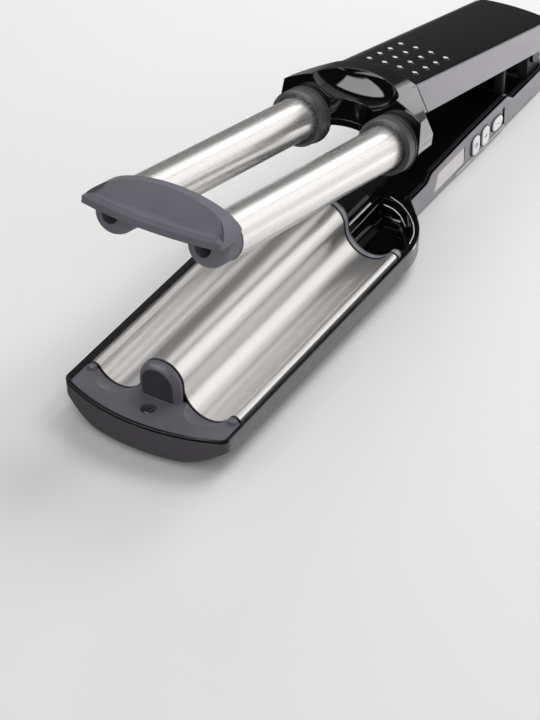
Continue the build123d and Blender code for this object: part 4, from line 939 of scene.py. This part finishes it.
@dataclass(frozen=True)
class ControlTrim:
    """Lines, outlines and marks around the window and the buttons; sizes in mm.

    Attributes:
        power_button: The power button.
        mode_button: The mode button.
        set_button: The set button.
        wall_y: Outer face of the left wall.
        face_y: Outer face of the buttons.
        line_x: Ends of the bright line under the buttons, a painted highlight on the recess's lower edge.
        line_z: Height of that line.
        line_radius: Radius of that line's bead.
        slot_x: Place of the dark end slot.
        slot_z: Lower and upper end of the slot.
        slot_inset: How far the slot's dark bead, painted shade, sits behind the wall's face.
        slot_radius: Radius of that dark bead.
        ring_gap: How far an outline's middle line runs outside its button.
        ring_radius: Radius of an outline's bead.
        mark_radius: Radius of a mark's bead.
        mark_ring: Radius of the power mark's open ring.
        mark_turn: Start and end of that ring, in degrees.
        mark_bar: Heights of the power mark's bar over the button's middle.
        mark_half: Half length of the bars on the other two buttons.
    """

    power_button: Button = Button(97.2, 9.7, 4.1, 5.5, 3.0)
    mode_button: Button = Button(107.7, 9.7, 4.1, 5.5, 3.0)
    set_button: Button = Button(121.1, 9.8, 5.7, 3.8, 3.7)
    wall_y: float = -22.5
    face_y: float = -23.3
    line_x: Span = (76.0, 129.5)
    line_z: float = 3.1
    line_radius: float = 0.22
    slot_x: float = 129.0
    slot_z: Span = (5.0, 14.4)
    slot_inset: float = 0.25
    slot_radius: float = 0.75
    ring_gap: float = 0.25
    ring_radius: float = 0.33
    mark_radius: float = 0.14
    mark_ring: float = 1.3
    mark_turn: Span = (120.0, 420.0)
    mark_bar: Span = (0.4, 1.9)
    mark_half: float = 1.2

    def outline(self, button: Button) -> Piece:
        """Bead round a button: corner middles plus a circle, eight points a corner.

        Args:
            button: The button.

        Returns:
            The linked object.
        """
        count = 32
        turn = np.linspace(0.0, 2.0 * pi, count, endpoint=False) + pi / count
        corner = button.corner + self.ring_gap
        x = button.x + np.sign(np.cos(turn)) * (button.wide - button.corner) + corner * np.cos(turn)
        z = button.z + np.sign(np.sin(turn)) * (button.high - button.corner) + corner * np.sin(turn)
        path = np.stack([x, np.full(count, self.wall_y), z], -1) * MM
        return tube("ring", path, self.ring_radius * MM, closed=True)

    def bar(self, name: str, button: Button, reach: Span, rise: Span) -> Piece:
        """Straight bead on a button's face.

        Args:
            name: Name of the piece.
            button: The button.
            reach: Start and end along the tool, from the button's middle.
            rise: Start and end upwards, from the button's middle.

        Returns:
            The linked object.
        """
        start, end = ((button.x + dx, self.face_y, button.z + dz) for dx, dz in zip(reach, rise))
        return tube(name, straight(start, end), self.mark_radius * MM, 6)

    def lines(self, wardrobe: Wardrobe) -> None:
        """Makes the bright line, the dark bead in the slot and the buttons' outlines; the line is a painted
        highlight, the bead painted shade.

        Args:
            wardrobe: Dresses the pieces.
        """
        left, right = ((x, self.wall_y, self.line_z) for x in self.line_x)
        # Painted highlight: a bright bead along the lower edge of the control recess
        line = tube("panel_highlight_line", straight(left, right, 30), self.line_radius * MM)
        wardrobe.dress(line, Look.LINE, Body.LOWER)
        # Painted shade: a black bead deepens the shaded end wall of the control recess
        low, high = ((self.slot_x, self.wall_y + self.slot_inset, z) for z in self.slot_z)
        shade_bead = tube("slot_shade", straight(low, high, 12), self.slot_radius * MM, 12)
        wardrobe.dress(shade_bead, Look.GLOSS_BLACK, Body.LOWER)
        rings = [self.outline(button) for button in (self.power_button, self.mode_button, self.set_button)]
        wardrobe.dress(merge("button_outlines", rings), Look.GLOSS_BLACK, Body.LOWER)

    def marks(self, wardrobe: Wardrobe) -> None:
        """Raises one mark on each button: an open ring with a bar, a cross and a bar.

        Args:
            wardrobe: Dresses the pieces.
        """
        turn = np.linspace(*(radians(angle) for angle in self.mark_turn), 24)
        x = self.power_button.x + self.mark_ring * np.cos(turn)
        z = self.power_button.z + self.mark_ring * np.sin(turn)
        path = np.stack([x, np.full(len(turn), self.face_y), z], -1) * MM
        ring = tube("mark", path, self.mark_radius * MM, 6)
        stem = self.bar("mark", self.power_button, (0.0, 0.0), self.mark_bar)
        wardrobe.dress(merge("power_mark", [ring, stem]), Look.POST, Body.POWER)
        across, still = (-self.mark_half, self.mark_half), (0.0, 0.0)
        cross = [
            self.bar("mark", self.mode_button, reach, rise)
            for reach, rise in ((across, still), (still, across))
        ]
        wardrobe.dress(merge("mode_mark", cross), Look.POST, Body.MODE)
        bar = self.bar("set_mark", self.set_button, across, still)
        wardrobe.dress(bar, Look.POST, Body.SET)

    def build(self, wardrobe: Wardrobe) -> None:
        """Makes the lines and the marks."""
        self.lines(wardrobe)
        self.marks(wardrobe)


@dataclass(frozen=True)
class BasinLines:
    """Painted highlights on edges round the left basin behind the plate; each has a radius and points, in
    mm.

    Attributes:
        outer: Long bowed edge at one height.
        inner: Bowed edge within it that falls to the side.
        bar: Broad straight edge nearer the middle.
        seam: Fine straight line under the broad edge.
        steps: Points worked out for each run between two given ones.
    """

    outer: Edge = (
        0.3,
        (
            (23.4, -13.6, 18.35),
            (20.0, -22.0, 18.35),
            (12.5, -31.5, 18.35),
            (3.0, -38.5, 18.35),
            (-6.5, -41.4, 18.35),
        ),
    )
    inner: Edge = (
        0.28,
        ((20.9, -11.0, 14.4), (20.6, -17.0, 13.6), (18.4, -22.5, 12.4), (14.6, -27.4, 10.4)),
    )
    bar: Edge = (
        0.75,
        ((-12.5, -7.5, 18.1), (-5.0, -7.5, 18.1), (5.0, -7.5, 18.1), (13.5, -7.5, 18.1)),
    )
    seam: Edge = (
        0.16,
        ((-11.0, -8.45, 12.9), (0.0, -8.45, 13.3), (10.0, -8.45, 13.8), (20.0, -8.45, 14.3)),
    )
    steps: int = 12

    def run(self, k: np.ndarray) -> np.ndarray:
        """Points of a Catmull-Rom curve from the second to the third of four points.

        With shares t from 0 to 1: half of 2 k1 + (k2 - k0) t + (2 k0 - 5 k1 + 4 k2 - k3) t^2
        + (3 k1 - k0 - 3 k2 + k3) t^3.

        Args:
            k: The four points.

        Returns:
            Array (steps, 3), without the end.
        """
        t = np.linspace(0.0, 1.0, self.steps, endpoint=False)[:, None]
        square = 2 * k[0] - 5 * k[1] + 4 * k[2] - k[3]
        cube = 3 * k[1] - k[0] - 3 * k[2] + k[3]
        return 0.5 * (2 * k[1] + (k[2] - k[0]) * t + square * t**2 + cube * t**3)

    def bead(self, radius: float, points: Sequence[Point]) -> Piece:
        """Bead along a smooth curve through points.

        Args:
            radius: Radius of the bead.
            points: Points of the curve; its ends are continued by mirrored points.

        Returns:
            The linked object.
        """
        knots = np.array(points)
        knots = np.concatenate([2 * knots[:1] - knots[1:2], knots, 2 * knots[-1:] - knots[-2:-1]])
        runs = [self.run(knots[k : k + 4]) for k in range(len(points) - 1)]
        return tube("edge", np.concatenate([*runs, knots[-2:-1]]) * MM, radius * MM)

    def build(self, wardrobe: Wardrobe) -> None:
        """Makes the four painted highlight beads and dresses them."""
        beads = [self.bead(*edge) for edge in (self.outer, self.inner, self.bar, self.seam)]
        wardrobe.dress(merge("basin_edge_highlights", beads), Look.LINE, Body.LOWER)


# --- Stage ------------------------------------------------


@dataclass(frozen=True)
class Panel:
    """Bright field of the surround that only gloss mirrors.

    Attributes:
        reach: Least and greatest share of a direction along the tool, -1 to 1.
        angles: Least and greatest angle about the tool's length, 0 to the right, 90 upwards, in degrees.
        level: Brightness.
        soft: Width of the soft border, in degrees; a sixtieth of it in share.
    """

    reach: Span
    angles: Span
    level: float
    soft: float = 6.0


# Seven behind the tool, from the right side over the top to the left side and on below it
PANELS = (
    Panel((0.25, 2.0), (-20.0, 57.0), 0.11, 7.0),
    Panel((0.8, 2.0), (53.0, 66.0), 1.5, 4.0),
    Panel((0.25, 2.0), (64.0, 118.0), 0.85, 12.0),
    Panel((0.25, 2.0), (121.0, 176.0), 1.25, 10.0),
    Panel((0.25, 2.0), (178.0, 200.0), 0.85, 8.0),
    Panel((0.25, 2.0), (-200.0, -90.0), 0.85, 12.0),
    Panel((0.25, 2.0), (-90.0, -20.0), 0.3, 12.0),
    # Stronger ones: above behind, below behind on the left, above in front
    Panel((0.945, 2.0), (58.0, 105.0), 5.5, 4.0),
    Panel((0.77, 2.0), (-150.0, -95.0), 2.3, 2.0),
    Panel((-0.88, -0.08), (30.0, 103.0), 6.5, 5.0),
)


@dataclass(frozen=True)
class Lamp:
    """Rectangular area light.

    Attributes:
        name: Name of the light.
        place: Where it hangs.
        aim: Where it points.
        size: Width and height.
        watts: Power.
    """

    name: str
    place: Point
    aim: Point
    size: Span
    watts: float

    def hang(self) -> None:
        """Hangs the light; gloss doesn't mirror it."""
        data = bpy.data.lights.new(self.name, "AREA")
        data.shape = "RECTANGLE"
        data.size, data.size_y = self.size
        data.energy = self.watts
        lamp = bpy.data.objects.new(self.name, data)
        lamp.location = self.place
        lamp.visible_glossy = False
        lamp.rotation_mode = "QUATERNION"
        lamp.rotation_quaternion = (Vector(self.aim) - Vector(self.place)).to_track_quat("-Z", "Y")
        bpy.context.scene.collection.objects.link(lamp)


LAMPS = (
    Lamp("top_box", (0.85, -0.3, 1.25), (0.0, 0.0, 0.0), (0.9, 0.8), 14.0),
    Lamp("side_box", (-1.2, -1.0, 1.1), (0.0, 0.0, 0.05), (0.8, 0.8), 3.0),
    Lamp("rear_strip", (1.3, 0.9, 1.0), (0.0, 0.0, 0.05), (0.25, 1.2), 5.0),
)


class Surround:
    """Builds the brightness of the surround in a world's node tree.

    Attributes:
        tree: The node tree.
        share: Share of the direction along the tool, -1 to 1.
        angle: Angle of the direction about the tool's length, in degrees.
        path: What kind of light path looks at the surround.
    """

    def __init__(self, tree: bpy.types.NodeTree) -> None:
        """Reads the direction's share along the tool and its angle about the tool's length.

        Args:
            tree: Node tree of the world.
        """
        self.tree = tree
        coords = tree.nodes.new("ShaderNodeTexCoord")
        split = tree.nodes.new("ShaderNodeSeparateXYZ")
        tree.links.new(coords.outputs["Generated"], split.inputs["Vector"])
        self.share = split.outputs["X"]
        turn = self.math("ARCTAN2", split.outputs["Z"], split.outputs["Y"])
        self.angle = self.math("MULTIPLY", turn, degrees(1.0))
        self.path = tree.nodes.new("ShaderNodeLightPath")

    def math(self, operation: str, *values: Level) -> Socket:
        """Adds a maths node.

        Args:
            operation: Blender's name of the operation.
            *values: Its operands, sockets or numbers.

        Returns:
            Value socket.
        """
        node = self.tree.nodes.new("ShaderNodeMath")
        node.operation = operation
        for socket, value in zip(node.inputs, values):
            if isinstance(value, bpy.types.NodeSocket):
                self.tree.links.new(value, socket)
            else:
                socket.default_value = value
        return node.outputs["Value"]

    def inside(self, value: Socket, span: Span, soft: float) -> Socket:
        """Soft step up at the low end times a soft step down at the high end.

        Args:
            value: Value socket.
            span: Low and high end.
            soft: Width of each step.

        Returns:
            Value socket, 0 to 1.
        """
        steps = []
        for edge, way in zip(span, (1.0, -1.0)):
            step = self.tree.nodes.new("ShaderNodeMapRange")
            step.interpolation_type = "SMOOTHSTEP"
            step.inputs["From Min"].default_value = edge - way * soft / 2
            step.inputs["From Max"].default_value = edge + way * soft / 2
            self.tree.links.new(value, step.inputs["Value"])
            steps.append(step.outputs["Result"])
        return self.math("MULTIPLY", *steps)

    def lay(self, panel: Panel, below: Level) -> Socket:
        """Lays a panel over what is below it: below + mask * (level - below).

        Args:
            panel: The panel.
            below: Brightness so far.

        Returns:
            Brightness with the panel.
        """
        along = self.inside(self.share, panel.reach, panel.soft / 60.0)
        mask = self.math("MULTIPLY", along, self.inside(self.angle, panel.angles, panel.soft))
        return self.math("MULTIPLY_ADD", mask, self.math("SUBTRACT", panel.level, below), below)

    def when(self, ray: str, level: Socket, even: float) -> Socket:
        """Swaps the brightness for an even one where the path is of one kind.

        Args:
            ray: Blender's name of the kind.
            level: Brightness so far.
            even: Brightness for that kind.

        Returns:
            Brightness for all kinds.
        """
        return self.math("MULTIPLY_ADD", self.path.outputs[ray], self.math("SUBTRACT", even, level), level)


@dataclass(frozen=True)
class Studio:
    """Floor, lights and camera.

    Attributes:
        target: Point that the camera looks at.
        azimuth: Camera azimuth, in degrees.
        elevation: Camera elevation, in degrees.
        roll: Camera roll, in degrees.
        distance: Camera distance.
        lens: Focal length for a 36 mm long side, in mm.
        floor_half: Half width of the floor.
        floor_greys: Least and greatest grey of the floor.
        gloss_level: Brightness of the surround between its panels.
        matt_level: Its brightness to matt surfaces.
        camera_level: Its brightness to the camera.
        tint: Its colour.
    """

    target: Point = (-0.0716, 0.0, -0.027)
    azimuth: float = -57.59
    elevation: float = 38.82
    roll: float = -1.08
    distance: float = 1.327
    lens: float = 134.37
    floor_half: float = 6.0
    floor_greys: Span = (0.80, 0.82)
    gloss_level: float = 0.035
    matt_level: float = 0.5
    camera_level: float = 0.855
    tint: Colour = (1.0, 0.99, 0.985)

    def camera(self) -> None:
        """Places the camera: back points from the target to the camera, right and up are rolled."""
        a, e, r = radians(self.azimuth), radians(self.elevation), radians(self.roll)
        back = Vector((sin(a) * cos(e), -cos(a) * cos(e), sin(e)))
        side = Vector((cos(a), sin(a), 0.0))
        right = side * cos(r) + back.cross(side) * sin(r)
        data = bpy.data.cameras.new("camera")
        data.lens = self.lens
        data.sensor_width = 36.0
        data.clip_start = 0.05
        data.clip_end = 20.0
        turn = Matrix((right, back.cross(right), back)).transposed().to_4x4()
        camera = bpy.data.objects.new("camera", data)
        camera.matrix_world = Matrix.Translation(Vector(self.target) + back * self.distance) @ turn
        bpy.context.scene.collection.objects.link(camera)
        bpy.context.scene.camera = camera

    def floor(self) -> None:
        """Lays a wide pale floor that gloss doesn't mirror."""
        corners = np.array([[-1.0, -1.0, 0.0], [1.0, -1.0, 0.0], [1.0, 1.0, 0.0], [-1.0, 1.0, 0.0]])
        floor = mesh_piece("floor", corners * self.floor_half, np.array([[0, 1, 2, 3]]), smooth=False)
        nodes = Nodes("floor_pale")
        low, high = ((grey, grey, grey) for grey in self.floor_greys)
        nodes.put("Base Color", nodes.ramp(nodes.noise(nodes.mapped(), 3.0, detail=2.0), low, high))
        nodes.put("Roughness", 0.9)
        nodes.put("Specular IOR Level", 0.1)
        floor.data.materials.append(nodes.material)
        floor.visible_glossy = False

    def surround(self) -> None:
        """Surrounds the tool: pale to the camera, even to matt surfaces, panelled to gloss."""
        world = bpy.data.worlds.new("surround")
        world.use_nodes = True
        sky = Surround(world.node_tree)
        level = self.gloss_level
        for panel in PANELS:
            level = sky.lay(panel, level)
        level = sky.when("Is Diffuse Ray", level, self.matt_level)
        level = sky.when("Is Camera Ray", level, self.camera_level)
        back = world.node_tree.nodes["Background"]
        back.inputs["Color"].default_value = (*self.tint, 1.0)
        world.node_tree.links.new(level, back.inputs["Strength"])
        world.cycles.sampling_method = "NONE"
        bpy.context.scene.world = world
        bpy.context.scene.view_settings.view_transform = "Standard"

    def build(self) -> None:
        """Sets up the camera, the floor, the lights and the surround."""
        self.camera()
        self.floor()
        for lamp in LAMPS:
            lamp.hang()
        self.surround()


def main() -> None:
    """Builds the scene in order."""
    logging.basicConfig(level=logging.INFO, format="%(name)s: %(message)s")
    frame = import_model()
    Studio().build()
    wardrobe = Wardrobe(frame)
    wardrobe.dress_nodes()
    for part in (GripPips(), LipRidges(), ControlTrim(), BasinLines()):
        part.build(wardrobe)


if __name__ == "__main__":
    main()
